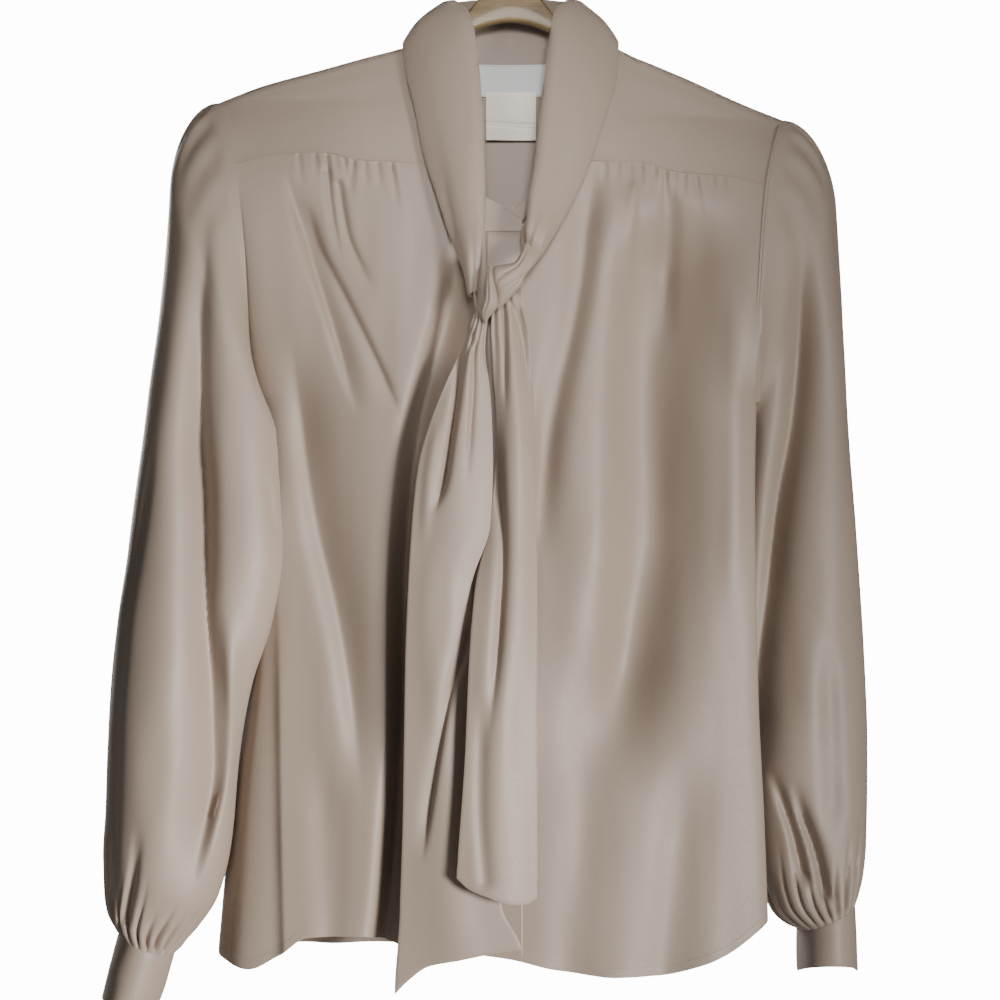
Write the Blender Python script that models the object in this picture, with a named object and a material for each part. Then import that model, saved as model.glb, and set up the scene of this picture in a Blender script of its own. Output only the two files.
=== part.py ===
"""Long-sleeved tie front blouse hanging on a wooden hanger.

Sizes are millimetres in the tables and metres in the meshes. +Z is up, the front faces -Y,
+X is towards the wearer's left. The origin is where a rail touches the inside of the hook.
The camera side of the garment shows the wearer's right at -X and the wearer's left at +X.
"""
import math

import bpy
import numpy as np

# Cloth and seams
WALL = 1.5                 # thickness of a single cloth wall
BAND_WALL = 2.0            # the folded tie band, two layers pressed together
SEAM_GAP = 0.6             # space between two pieces at a seam
SIDE_POWER = 2.4           # how square the body's plan is, 2 is an ellipse
BODY_ROOM = 2.0            # space between a sleeve and the body's side where they leave each other
EDGE_ROOM = 2.5            # added to it further down
SIDE_ANCHOR = 44.0         # a sleeve is moved away from a line this far inside the body's side
SIDE_GROWTH = 1.02         # in steps of this ratio, at most as many as SIDE_STEPS
SIDE_STEPS = 90
SIDE_STARTS_ABOVE = 25.0   # from this height over the underarm downwards
LAP_ENDS_ABOVE = 12.0      # a sleeve lies over the front or back down to this height over the underarm

# Neck and shoulders
RIDGE_RADIUS = 8.0         # the shoulder rolls over the hanger's arm at this radius
NECK_HALF = 66.0           # from the middle to the neck end of the shoulder
NECK_FRONT_Z = -261.0      # lowest point of the front neckline
NECK_RISE_POWER = 1.72     # how round the front neckline is
NECK_BACK_DROP = 9.0       # the back neckline dips this much below the shoulder
NECK_BACK_BULGE = 22.0     # the back neck stands this much behind the hanger
BACK_YOKE_STEP = 6         # the yoke's back seam meets this point of each armhole
FRONT_MIDDLE_X = -4.0      # centre front line

# Armholes
ARMHOLE_HALF_DEPTH = 28.0  # front to back half width of the armhole
UNDERARM_Z = -388.0
RIDGE_SQUARE = 8.0         # extra squareness of the plan right at the shoulder line
RIDGE_SQUARE_DROP = 14.0   # it is gone by about twice this drop

# Sleeves
AROUND = 28                # points round a sleeve, and round the armhole it is sewn into
CAP_END_Z = -432.0         # below this level a sleeve's rings are level
CAP_ROUND = 66.0           # height over which the sleeve head rounds out
CUFF_HEIGHT = 42.0

# Hanger
BAR_HALF_THICK = 5.0
HOOK_RADIUS = 22.0         # centre of the wire, from the hook's middle
HOOK_WIRE = 2.0            # wire radius
HOOK_FOOT_Z = -84.0        # the wire ends this far down, inside the wood
BUTTON_RADIUS = 5.5
BUTTON_THICK = 2.4
BUTTON_ROOM = 0.45         # space between a button and the cloth that it is sewn to


def table(columns, *rows):
    """Rows with named columns, as a dictionary of arrays."""
    return {name: np.array([row[i] for row in rows], float)
            for i, name in enumerate(columns.split())}


# The shoulder line along the top of the yoke
RIDGE = table("x z",
              (-220, -162), (-187.5, -149.5), (-144, -137.5), (-94, -124), (-66, -118),
              (66, -117), (98, -129), (133, -143.5), (176, -163), (206, -175))

# Armhole edge and side seam: the wearer's right side, then the left
EDGE_RIGHT = table("z x y",
                   (-162, -220, 0), (-186, -211, 1), (-219, -205, 2), (-260, -200, 5),
                   (-320, -196, 9), (-388, -194, 12), (-500, -193, 12), (-600, -200, 12),
                   (-700, -212, 10), (-800, -221, 8))
EDGE_LEFT = table("z x y",
                  (-175, 206, 0), (-198, 199, -1), (-227, 193, -2), (-277, 188, -6),
                  (-336, 185, -10), (-388, 185, -13), (-450, 184, -14), (-540, 185, -14),
                  (-620, 187, -14), (-700, 191, -13), (-800, 195, -11))

# How far the front and the back stand from the hanger, by the drop below the shoulder
DEPTH = table("drop front back",
              (8, 8, 8), (30, 14, 13), (60, 21, 18), (100, 28, 23),
              (150, 33, 27), (250, 38, 31), (400, 40, 34), (720, 42, 38))

# Seam between the yoke and the gathered fronts, and the hems
YOKE_SEAM = table("x z",
                  (-206, -211), (-178, -204), (-141, -202), (-112, -208), (-81, -210), (-37, -216),
                  (37, -208), (64, -209), (96, -210), (126, -217), (163, -220), (191, -227))
HEM_FRONT = table("x z",
                  (-221, -805), (-196, -812), (-172, -801), (-150, -787), (-110, -786), (-81, -794),
                  (-40, -797), (0, -802), (37, -811), (81, -816), (110, -816), (141, -809),
                  (163, -800), (178, -790), (195, -777))
HEM_BACK = table("x z", (-221, -805), (-150, -801), (0, -803), (150, -799), (195, -777))

# Folds of the fronts. A positive depth pushes the cloth in, a negative one stands it out.
# path: (x, z) from top to bottom; left and right: half widths; fade: length of each end
FOLDS_RIGHT = (
    dict(path=((-167, -219), (-159, -247), (-148, -283), (-133, -330), (-122, -368), (-112, -400)),
         left=4, right=9, depth=7, fade=(6, 60)),
    dict(path=((-152, -241), (-142, -273), (-126, -304), (-109, -338), (-94, -370), (-80, -402)),
         left=7, right=4, depth=4.5, fade=(30, 40)),
    dict(path=((-128, -225), (-121, -264), (-112, -286), (-102, -303)),
         left=5, right=4, depth=4, fade=(6, 30)),
    dict(path=((-163, -330), (-157, -392), (-147, -440), (-139, -486), (-129, -535), (-118, -600),
               (-110, -650)),
         left=14, right=18, depth=10, fade=(70, 90)),
    dict(path=((-44, -318), (-62, -370), (-74, -440), (-83, -536), (-92, -647), (-108, -800)),
         left=13, right=24, depth=19, fade=(60, 1)),
    dict(path=((-170, -520), (-168, -640), (-165, -810)),
         left=3, right=34, depth=15, fade=(150, 1)),
)
FOLDS_LEFT = (
    dict(path=((58, -215), (55, -250), (50, -300), (43, -342), (32, -380), (22, -430), (18, -520)),
         left=12, right=10, depth=10, fade=(20, 120)),
    dict(path=((122, -225), (124, -262), (123, -300), (122, -350)),
         left=8, right=7, depth=5, fade=(20, 60)),
    dict(path=((124, -300), (122, -380), (126, -455), (118, -520), (104, -580), (92, -622), (76, -680)),
         left=20, right=22, depth=11, fade=(60, 120)),
    dict(path=((140, -640), (132, -700), (126, -760), (120, -815)),
         left=18, right=20, depth=7, fade=(80, 1)),
    dict(path=((54, -600), (54, -680), (50, -760), (46, -812)),
         left=14, right=16, depth=7, fade=(80, 1)),
    dict(path=((84, -220), (74, -330), (70, -470), (72, -600), (90, -700)),
         left=16, right=16, depth=-7, fade=(60, 140)),
)
FOLDS_BACK = (
    dict(path=((-120, -260), (-128, -500), (-134, -803)), left=16, right=22, depth=9, fade=(90, 1)),
    dict(path=((-62, -260), (-66, -500), (-72, -803)), left=18, right=14, depth=8, fade=(60, 1)),
    dict(path=((4, -270), (2, -520), (-6, -803)), left=20, right=20, depth=-8, fade=(80, 1)),
    dict(path=((66, -260), (72, -500), (70, -803)), left=14, right=18, depth=9, fade=(60, 1)),
    dict(path=((128, -260), (132, -500), (138, -803)), left=18, right=16, depth=7, fade=(90, 1)),
)

# Gathers sewn into the yoke: x on the seam, x where the gather dies out, its length and depth
GATHERS_RIGHT = table("x end length depth",
                      (-158, -155, 30, 1.8), (-146, -143, 26, 2.0), (-137, -130, 62, 2.4),
                      (-124, -119, 30, 2.0), (-117, -119, 34, 2.4), (-108, -107, 22, 1.8),
                      (-99, -96, 24, 2.0), (-89, -82, 44, 2.4))
GATHERS_LEFT = table("x end length depth",
                     (71, 70, 20, 1.8), (80, 79, 22, 2.0), (89, 91, 26, 2.0), (98, 96, 40, 2.4),
                     (108, 107, 24, 2.0), (116, 116, 42, 2.4), (130, 129, 26, 2.2), (139, 143, 38, 2.4),
                     (151, 153, 20, 2.0), (159, 161, 24, 1.8))
GATHER_HALF_WIDTH = 3.4

# Sleeve rings by level: outermost and innermost x, front and back y
SLEEVE_RIGHT = table("z outer inner front back",
                     (-162, -255, -182, -24, 24), (-220, -257, -182, -31, 31), (-272, -260, -180, -38, 36),
                     (-324, -264, -178, -46, 38), (-387, -272, -174, -55, 36), (-447, -280, -172, -61, 32),
                     (-500, -286, -170, -65, 26), (-550, -294, -178, -68, 28), (-600, -299, -194, -69, 30),
                     (-650, -302, -204, -66, 32), (-700, -303, -209, -62, 33), (-740, -305, -219, -57, 32),
                     (-765, -304, -233, -51, 27), (-781, -301, -244, -48, 24), (-794, -293, -252, -46, 22))
SLEEVE_LEFT = table("z outer inner front back",
                    (-175, 243, 170, -24, 24), (-247, 248, 174, -24, 34), (-300, 252, 177, -20, 42),
                    (-350, 256, 179, -14, 50), (-430, 261, 180, -8, 58), (-508, 267, 179, -7, 66),
                    (-580, 271, 178, -8, 70), (-645, 273, 181, -10, 70), (-700, 273, 186, -10, 67),
                    (-734, 272, 192, -9, 62), (-758, 269, 201, -10, 57), (-780, 263.5, 220, -12, 56))
SLEEVE_FOLDS_RIGHT = (
    dict(path=((-226, -215), (-228, -300), (-231, -390), (-227, -462), (-223, -536), (-220, -625),
               (-226, -690), (-236, -760)), left=9, right=9, depth=13, fade=(70, 60)),
    dict(path=((-278, -430), (-284, -560), (-289, -680), (-290, -760)),
         left=6, right=9, depth=5, fade=(90, 60)),
    dict(path=((-283, -700), (-284, -730), (-287, -765)), left=5, right=5, depth=5, fade=(50, 10)),
    dict(path=((-212, -640), (-218, -690), (-230, -740)), left=6, right=5, depth=5, fade=(60, 30)),
)
SLEEVE_FOLDS_LEFT = (
    dict(path=((214, -330), (212, -420), (208, -490), (202, -560), (195, -625), (189, -690)),
         left=9, right=11, depth=12, fade=(90, 60)),
    dict(path=((222, -700), (228, -730), (234, -762)), left=5, right=5, depth=7, fade=(40, 10)),
    dict(path=((204, -690), (210, -720), (220, -758)), left=4, right=5, depth=5, fade=(50, 12)),
    dict(path=((203, -215), (207, -260), (211, -300)), left=7, right=9, depth=5, fade=(20, 60)),
)
SLEEVE_FOLDS_BACK_RIGHT = (
    dict(path=((-236, -330), (-246, -500), (-262, -760)), left=10, right=13, depth=11, fade=(110, 40)),
    dict(path=((-206, -470), (-214, -600), (-238, -740)), left=8, right=8, depth=7, fade=(90, 60)),
)
SLEEVE_FOLDS_BACK_LEFT = (
    dict(path=((222, -330), (230, -500), (236, -750)), left=11, right=13, depth=11, fade=(110, 40)),
    dict(path=((196, -470), (202, -600), (216, -730)), left=8, right=8, depth=7, fade=(90, 60)),
)
CAP_GATHERS = 7            # gathers in each half of a sleeve head
CAP_GATHER_DEPTH = 2.0
CUFF_GATHERS = 14          # gathers round each cuff seam
CUFF_GATHER_DEPTH = 2.6
CUFF_RIGHT = dict(shift=-12.0, tilt_top=-0.42, tilt_bottom=-0.10)
CUFF_LEFT = dict(shift=1.0, tilt_top=0.44, tilt_bottom=0.0)

# Rolled collar, one table for each side, from the centre back to the knot.
# n: edge sewn to the neckline, r: the roll, e: the outer edge, bow: how far the fall stands out
COLLAR_RIGHT = table("nx ny nz rx ry rz ex ey ez bow",
                     (0, 27, -125, 0, 30, -80, 0, 42, -132, 4),
                     (-34, 23, -123, -24, 26, -80, -42, 37, -129, 4),
                     (-58, 9, -120, -42, 12, -84, -71, 16, -121, 3),
                     (-65, -4, -116, -42, -9, -86, -81, -9, -118, 3),
                     (-62, -17, -140, -30, -27, -100, -78, -24, -142, 5),
                     (-54, -29, -170, -23.5, -38, -142, -71, -35, -170, 8),
                     (-42, -37, -205, -20.5, -46, -184, -64, -44, -206, 9),
                     (-30, -42, -232, -19, -51, -225, -54, -49, -238, 8),
                     (-33, -47, -258, -19.5, -55, -256, -45.5, -52, -265, 6),
                     (-31, -51, -283, -22, -58, -280, -36, -55, -290, 4),
                     (-29, -56, -309, -25, -61, -306, -28, -60, -312, 2))
COLLAR_LEFT = table("nx ny nz rx ry rz ex ey ez bow",
                    (0, 27, -125, 0, 30, -80, 0, 42, -132, 4),
                    (34, 23, -122, 24, 26, -80, 42, 37, -129, 4),
                    (58, 9, -119, 43, 12, -84, 72, 16, -120, 3),
                    (65, -4, -115, 45, -9, -86, 82, -9, -117, 3),
                    (62, -17, -140, 34, -27, -98, 80, -24, -146, 5),
                    (54, -29, -168, 28, -37, -138, 72, -34, -172, 8),
                    (42, -37, -203, 22, -44, -182, 63.5, -43, -199, 9),
                    (32, -42, -228, 18, -49, -216, 55, -48, -228, 8),
                    (16, -47, -250, 13, -54, -244, 42, -53, -256, 6),
                    (8, -52, -268, 12, -59, -264, 30, -58, -274, 4),
                    (9, -56, -281, 13, -62, -279, 21, -61, -284, 2))

# The hanging ends: level, left and right edges, depth and how far the left edge sits behind
TAIL_RIGHT = table("z left right y turn",
                   (-332.5, -28, -19, -61.5, 0), (-352, -36, -18.5, -60, 2), (-375, -47, -15.5, -61, 3),
                   (-400, -57, -13.5, -62, 4), (-435, -67, -12.5, -63, 4), (-480, -72, -14.5, -63, 4),
                   (-529, -75, -28.5, -62, 4), (-580, -77, -27, -60, 4), (-640, -78, -20, -58, 4),
                   (-700, -79, -14, -58, 5), (-760, -81, -6, -58, 6))
TAIL_RIGHT_END = table("x z", (-85, -826), (-74, -815), (-60, -805), (-37, -800), (-15, -796), (8, -793))
TAIL_LEFT = table("z left right y turn",
                  (-306, -12, 4, -51.3, 0), (-335, -14, 13, -52, 2), (-364, -13, 16, -56, 7),
                  (-410, -10, 18, -59, 9), (-470, -14, 19.5, -61, 10), (-529, -26, 20, -66, 4),
                  (-580, -30, 20, -70, 2), (-650, -33, 20, -71, 1), (-720, -38, 20, -71, 1))
TAIL_LEFT_END = table("x z", (-39, -738), (-30, -746), (-15, -752), (0, -757), (11, -758), (20, -754))
TAIL_FOLDS_RIGHT = (
    dict(path=((-34, -345), (-38, -385), (-43, -430), (-49, -470)),
         left=3.5, right=4, depth=5, fade=(12, 40)),
    dict(path=((-30, -520), (-42, -600), (-56, -660), (-66, -730)),
         left=6, right=4, depth=3, fade=(60, 50)),
)
TAIL_FOLDS_LEFT = (
    dict(path=((4, -320), (10, -352), (12, -380)), left=3, right=3.5, depth=4, fade=(8, 30)),
    dict(path=((-7, -430), (-6, -480), (-6, -530), (-12, -600)), left=4, right=5, depth=5, fade=(40, 70)),
    dict(path=((-20, -600), (-22, -680), (-18, -745)), left=5, right=6, depth=2.5, fade=(50, 10)),
)

# The knot: points along its middle, from the left band's entry down to the ends
KNOT = table("x y z wide deep",
             (15.3, -61.5, -282.4, 6, 3), (11, -64, -290, 9, 6), (4, -64.5, -298, 13, 9.5),
             (-5, -64, -307, 15, 11), (-13, -63.5, -315, 13, 10), (-19, -62.5, -323, 9, 7),
             (-23, -61, -329.5, 5, 3))

# The hanger's wood: its top follows the yoke out to both sides and humps up in the neck
BAR_TIPS = (-202.0, 190.0)
BAR_SEAT = 1.0             # space between the wood and the yoke that hangs on it
BAR_HEIGHT = table("x height",
                   (-202, 7.5), (-160, 13), (-100, 17), (-66, 14), (66, 14), (100, 16), (190, 7.5))
BAR_HUMP = table("x top low",
                 (-66, -120.5, -133), (-56, -118.5, -128), (-44, -109, -118), (-32, -94, -110),
                 (-18, -78, -104), (0, -68, -101), (18, -78, -104), (32, -94, -110),
                 (44, -109, -119), (56, -117.8, -129), (66, -119.5, -133))

MATERIALS = dict(
    cloth=((0.55, 0.48, 0.43), 0.55, 0.0),
    button=((0.62, 0.55, 0.48), 0.35, 0.0),
    label=((0.66, 0.68, 0.67), 0.5, 0.0),
    satin=((0.80, 0.74, 0.64), 0.4, 0.0),
    wood=((0.47, 0.34, 0.16), 0.4, 0.0),
    steel=((0.62, 0.62, 0.63), 0.25, 1.0),
)


# Smooth reading of tables

def smooth(xs, ys, at):
    """A curve through the points that never swings past them; straight on beyond the ends is level."""
    xs, ys = np.asarray(xs, float), np.asarray(ys, float)
    if xs[0] > xs[-1]:
        xs, ys = xs[::-1], ys[::-1]
    at = np.clip(np.asarray(at, float), xs[0], xs[-1])
    step = np.diff(xs)
    slope = np.diff(ys) / step
    tangent = np.zeros(len(xs))
    tangent[0], tangent[-1] = slope[0], slope[-1]
    if len(xs) > 2:
        same_way = slope[:-1] * slope[1:] > 0
        weight_a, weight_b = 2 * step[1:] + step[:-1], step[1:] + 2 * step[:-1]
        safe_a = np.where(same_way, slope[:-1], 1.0)
        safe_b = np.where(same_way, slope[1:], 1.0)
        blended = (weight_a + weight_b) / (weight_a / safe_a + weight_b / safe_b)
        tangent[1:-1] = np.where(same_way, blended, 0.0)
    index = np.clip(np.searchsorted(xs, at, side="right") - 1, 0, len(xs) - 2)
    h = step[index]
    t = (at - xs[index]) / h
    return (ys[index] * (1 + 2 * t) * (1 - t) ** 2 + h * tangent[index] * t * (1 - t) ** 2
            + ys[index + 1] * t * t * (3 - 2 * t) + h * tangent[index + 1] * t * t * (t - 1))


def read(rows, column, by, at):
    return smooth(rows[by], rows[column], at)


def ease(t):
    t = np.clip(t, 0.0, 1.0)
    return t * t * (3 - 2 * t)


def fold_depth(folds, x, z):
    """How far the folds push the cloth in at (x, z)."""
    total = np.zeros(np.broadcast(x, z).shape)
    for fold in folds:
        path = np.array(fold["path"], float)
        top, bottom = path[0, 1], path[-1, 1]
        off = x - smooth(path[:, 1], path[:, 0], z)
        width = np.where(off < 0, fold["left"], fold["right"])
        fade_top, fade_bottom = fold["fade"]
        reach = ease((top + 4 - z) / fade_top) * ease((z - bottom + 4) / fade_bottom)
        total = total + fold["depth"] * np.exp(-(off / width) ** 2) * reach
    return total


def gather_depth(rows, x, z, seam_z):
    """The short gathers below a seam: deepest a little under it, dying out along their length."""
    total = np.zeros(np.broadcast(x, z).shape)
    for start, end, length, depth in zip(rows["x"], rows["end"], rows["length"], rows["depth"]):
        down = np.clip((seam_z - z) / length, 0.0, 1.0)
        off = (x - (start + (end - start) * down)) / (GATHER_HALF_WIDTH * (1 + down))
        total = total + depth * np.exp(-off ** 2) * (1 - down) ** 1.5
    return total


# The body's form

def ridge_z(x):
    return read(RIDGE, "z", "x", x)


def edge_of(side):
    return EDGE_RIGHT if side < 0 else EDGE_LEFT


def armhole_turn(side, z):
    """Angle round the armhole at a level: 0 at the shoulder tip, pi at the underarm."""
    tip = edge_of(side)["z"][0]
    middle, half = (tip + UNDERARM_Z) / 2, (tip - UNDERARM_Z) / 2
    return np.arccos(np.clip((z - middle) / half, -1.0, 1.0))


def armhole_level(side, step):
    """Level of one of the points round the armhole, counted from the shoulder tip."""
    tip = edge_of(side)["z"][0]
    return (tip + UNDERARM_Z) / 2 + (tip - UNDERARM_Z) / 2 * np.cos(step * 2 * math.pi / AROUND)


def armhole_half(turn):
    """Half the armhole's depth at an angle round it: round at the shoulder, pointed at the underarm."""
    power = 1 + 0.5 * ease((turn - math.pi / 2) / (math.pi / 2))
    return ARMHOLE_HALF_DEPTH * np.clip(np.sin(turn), 0.0, 1.0) ** power


def edge_xy(side, z, face):
    """Outer edge of the front (face -1) or back (face 1): the armhole, then the side seam."""
    rows = edge_of(side)
    x, middle = read(rows, "x", "z", z), read(rows, "y", "z", z)
    return x, middle + face * armhole_half(armhole_turn(side, z))


def centre_depth(drop, face):
    rolled = np.sqrt(np.clip(2 * RIDGE_RADIUS * drop - drop ** 2, 0.0, None))
    column = "front" if face < 0 else "back"
    return np.where(drop < RIDGE_RADIUS, rolled, read(DEPTH, column, "drop", drop))


def body_y(x, z, side, face):
    """y of the body's outer surface without its folds."""
    drop = np.clip(ridge_z(x) - z, 0.0, None)
    depth = centre_depth(drop, face)
    if face > 0:
        depth = depth + NECK_BACK_BULGE * np.clip(1 - (x / NECK_HALF) ** 2, 0.0, 1.0) * np.exp(-drop / 45.0)
    edge_x, edge_y = edge_xy(side, z, face)
    across = np.clip(np.abs(x / edge_x), 0.0, 1.0)
    power = SIDE_POWER + RIDGE_SQUARE * np.exp(-(drop / RIDGE_SQUARE_DROP) ** 2)
    return edge_y + (face * depth - edge_y) * (1 - across ** power) ** (1 / power)


def body_side_x(side, y, z, room):
    """How far out the body's side reaches at this depth and level, with some room added all round."""
    rows = edge_of(side)
    x, middle = read(rows, "x", "z", z), read(rows, "y", "z", z)
    depth = room + np.where(y < middle, middle + DEPTH["front"][-1], DEPTH["back"][-1] - middle)
    across = np.clip(np.abs(y - middle) / depth, 0.0, 1.0)
    return (np.abs(x) + room) * (1 - across ** SIDE_POWER) ** (1 / SIDE_POWER)


def neckline_x(z):
    rise = np.clip((z - NECK_FRONT_Z) / (ridge_z(NECK_HALF) - NECK_FRONT_Z), 0.0, 1.0)
    return NECK_HALF * rise ** (1 / NECK_RISE_POWER)


def neckline_z(x):
    return NECK_FRONT_Z + (ridge_z(NECK_HALF) - NECK_FRONT_Z) * np.abs(x / NECK_HALF) ** NECK_RISE_POWER


def back_level(x, step):
    """Level across the back that meets the same point of both armholes."""
    right, left = armhole_level(-1, step), armhole_level(1, step)
    return right + (left - right) * (x - EDGE_RIGHT["x"][0]) / (EDGE_LEFT["x"][0] - EDGE_RIGHT["x"][0])


def back_yoke_z(x):
    return back_level(x, BACK_YOKE_STEP)


# Building solids

def surface_normals(points, outward, ring=False):
    """Unit normals of a grid of points, turned to the side of outward."""
    if ring:
        around = np.concatenate([points[:, -1:], points, points[:, :1]], axis=1)
        across = (around[:, 2:] - around[:, :-2]) / 2
    else:
        across = np.gradient(points, axis=1)
    down = np.gradient(points, axis=0)
    normal = np.cross(across, down)
    normal /= np.maximum(np.linalg.norm(normal, axis=2, keepdims=True), 1e-9)
    facing = np.sum(normal * outward, axis=2, keepdims=True)
    return normal * np.where(facing < 0, -1.0, 1.0)


def without(normal, axis):
    """The same normals without their part along one axis, so that a seam edge stays in its own plane."""
    flat = normal.copy()
    flat[..., axis] = 0.0
    return flat / np.linalg.norm(flat, axis=-1, keepdims=True)


def new_object(name, verts, faces, material):
    mesh = bpy.data.meshes.new(name)
    mesh.from_pydata([tuple(v / 1000.0) for v in verts], [], faces)
    mesh.validate()
    mesh.update()
    obj = bpy.data.objects.new(name, mesh)
    bpy.context.scene.collection.objects.link(obj)
    obj.data.materials.append(material_named(material))
    mesh.shade_smooth()
    mesh.set_sharp_from_angle(angle=math.radians(50))
    return obj


def material_named(name):
    if name in bpy.data.materials:
        return bpy.data.materials[name]
    colour, roughness, metallic = MATERIALS[name]
    material = bpy.data.materials.new(name)
    material.use_nodes = True
    shader = material.node_tree.nodes["Principled BSDF"]
    shader.inputs["Base Color"].default_value = (*colour, 1.0)
    shader.inputs["Roughness"].default_value = roughness
    shader.inputs["Metallic"].default_value = metallic
    return material


def wall(name, outer, inner, material, ring=False, cells=None):
    """A closed wall between two grids of points. cells, if given, says which cells of the grid exist."""
    rows, cols = outer.shape[:2]
    wide = cols if ring else cols - 1
    if cells is None:
        cells = np.ones((rows - 1, wide), bool)
    count = rows * cols
    faces, edges = [], {}

    def number(r, c, layer):
        return layer * count + r * cols + c % cols

    for r in range(rows - 1):
        for c in range(wide):
            if not cells[r, c]:
                continue
            corners = [(r, c), (r + 1, c), (r + 1, c + 1), (r, c + 1)]
            a, b, d, e = (outer[q[0], q[1] % cols] for q in corners)
            first_shorter = np.linalg.norm(a - d) <= np.linalg.norm(b - e)
            cuts = ((0, 1, 2), (0, 2, 3)) if first_shorter else ((0, 1, 3), (1, 2, 3))
            for cut in cuts:
                faces.append([number(*corners[k], 0) for k in cut])
                faces.append([number(*corners[k], 1) for k in reversed(cut)])
            for k in range(4):
                start, end = corners[k], corners[(k + 1) % 4]
                start, end = (start[0], start[1] % cols), (end[0], end[1] % cols)
                if (end, start) in edges:
                    del edges[(end, start)]
                else:
                    edges[(start, end)] = True
    for start, end in edges:
        a, b = number(*start, 0), number(*end, 0)
        faces.append([b, a, a + count])
        faces.append([b, a + count, b + count])
    points = np.concatenate([outer.reshape(-1, 3), inner.reshape(-1, 3)])
    used = sorted({i for face in faces for i in face})
    renumber = {old: new for new, old in enumerate(used)}
    faces = [[renumber[i] for i in face] for face in faces]
    points = points[used]
    corner = np.array([[points[i] for i in face] for face in faces])
    if np.linalg.det(corner).sum() < 0:
        faces = [face[::-1] for face in faces]
    return new_object(name, points, faces, material)


def spread(start, end, count, crowd=1.0):
    """Values from start to end, closer together near the end where crowd is over 1."""
    t = np.linspace(0.0, 1.0, count)
    return start + (end - start) * (1 - (1 - t) ** crowd)


# Yoke: both shoulders and the top of the back, one piece

SHOULDER_COLUMNS = 9
NECK_COLUMNS = 8
FRONT_DROPS = (0.0, 1.2, 4.0, 8.0)


YOKE_FRONT_ROWS, YOKE_BACK_ROWS = 5, 6     # rows of points below the rolled shoulder, front and back


def yoke():
    shoulder = np.linspace(0.0, 1.0, SHOULDER_COLUMNS + 1)
    columns = [(-1, t) for t in shoulder[::-1]]
    columns += [(0, t) for t in np.linspace(-1, 1, NECK_COLUMNS + 1)[1:-1]]
    columns += [(1, t) for t in shoulder]
    rolled = len(FRONT_DROPS) - 1
    ridge_row = YOKE_FRONT_ROWS - 1 + rolled
    rows = ridge_row + rolled + YOKE_BACK_ROWS
    grid = np.zeros((rows, len(columns), 3))
    cells = np.ones((rows - 1, len(columns) - 1), bool)
    for r in range(rows):
        face = -1 if r < ridge_row else 1
        for c, (side, t) in enumerate(columns):
            grid[r, c] = yoke_point(side, t, abs(r - ridge_row), face)
    neck_cells = slice(SHOULDER_COLUMNS, SHOULDER_COLUMNS + NECK_COLUMNS)
    cells[:ridge_row, neck_cells] = False
    outward = np.array([0.0, 0.0, 0.35]) + np.where(
        (np.arange(rows) < ridge_row)[:, None, None], [0.0, -1.0, 0.0], [0.0, 1.0, 0.0])
    outward[ridge_row] = (0.0, 0.0, 1.0)
    normal = surface_normals(grid, np.broadcast_to(outward, grid.shape))
    normal[[0, -1]] = without(normal[[0, -1]], 2)
    normal[:, [0, -1]] = without(normal[:, [0, -1]], 0)
    shift = np.zeros_like(grid)
    shift[0, :, 2] += SEAM_GAP / 2
    shift[-1, :, 2] += SEAM_GAP / 2
    shift[:, 0, 0] += SEAM_GAP / 2
    shift[:, -1, 0] -= SEAM_GAP / 2
    outer = grid + shift
    return wall("yoke", outer, outer - normal * WALL, "cloth", cells=cells)


def yoke_point(side, t, step, face):
    """A point of the yoke: t runs from the neck to the armhole, step counts rows away from the ridge."""
    rolled = len(FRONT_DROPS) - 1
    if side == 0:
        x = t * NECK_HALF
        top = ridge_z(NECK_HALF) - NECK_BACK_DROP * math.sqrt(max(0.0, 1 - t * t))
        near = -1 if x < 0 else 1
        z = top - FRONT_DROPS[step] if step <= rolled else (
            top - FRONT_DROPS[rolled]
            + (float(back_yoke_z(x)) - top + FRONT_DROPS[rolled]) * (step - rolled) / (YOKE_BACK_ROWS - 1))
        return x, float(body_y(x, z, near, 1)), z
    inner_x, outer_x = side * NECK_HALF, edge_of(side)["x"][0]
    x = inner_x + (outer_x - inner_x) * t
    for _ in range(4):
        if step <= rolled:
            z = float(ridge_z(x)) - FRONT_DROPS[step]
        else:
            low = float(read(YOKE_SEAM, "z", "x", x)) if face < 0 else float(back_yoke_z(x))
            high = float(ridge_z(x)) - FRONT_DROPS[rolled]
            count = YOKE_FRONT_ROWS if face < 0 else YOKE_BACK_ROWS
            z = high + (low - high) * (step - rolled) / (count - 1)
        inner_x = side * (float(neckline_x(z)) if face < 0 else NECK_HALF)
        outer_x = float(edge_xy(side, z, face)[0])
        x = inner_x + (outer_x - inner_x) * t
    return x, float(body_y(x, z, side, face)), z


def yoke_seam_points(side):
    """The yoke's lower front edge as it was built, so that the fronts meet it exactly."""
    last = YOKE_FRONT_ROWS - 1 + len(FRONT_DROPS) - 1
    points = [yoke_point(side, t, last, -1) for t in np.linspace(0.0, 1.0, SHOULDER_COLUMNS + 1)]
    return np.array(points)


# Fronts

NECK_EDGE_COLUMNS = 3
FIRST_ARMHOLE_STEP = 5     # the fronts meet the armhole from this point down
LOWER_LEVELS = (-430.0, -475.0, -525.0, -580.0, -640.0, -700.0, -755.0)


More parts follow.
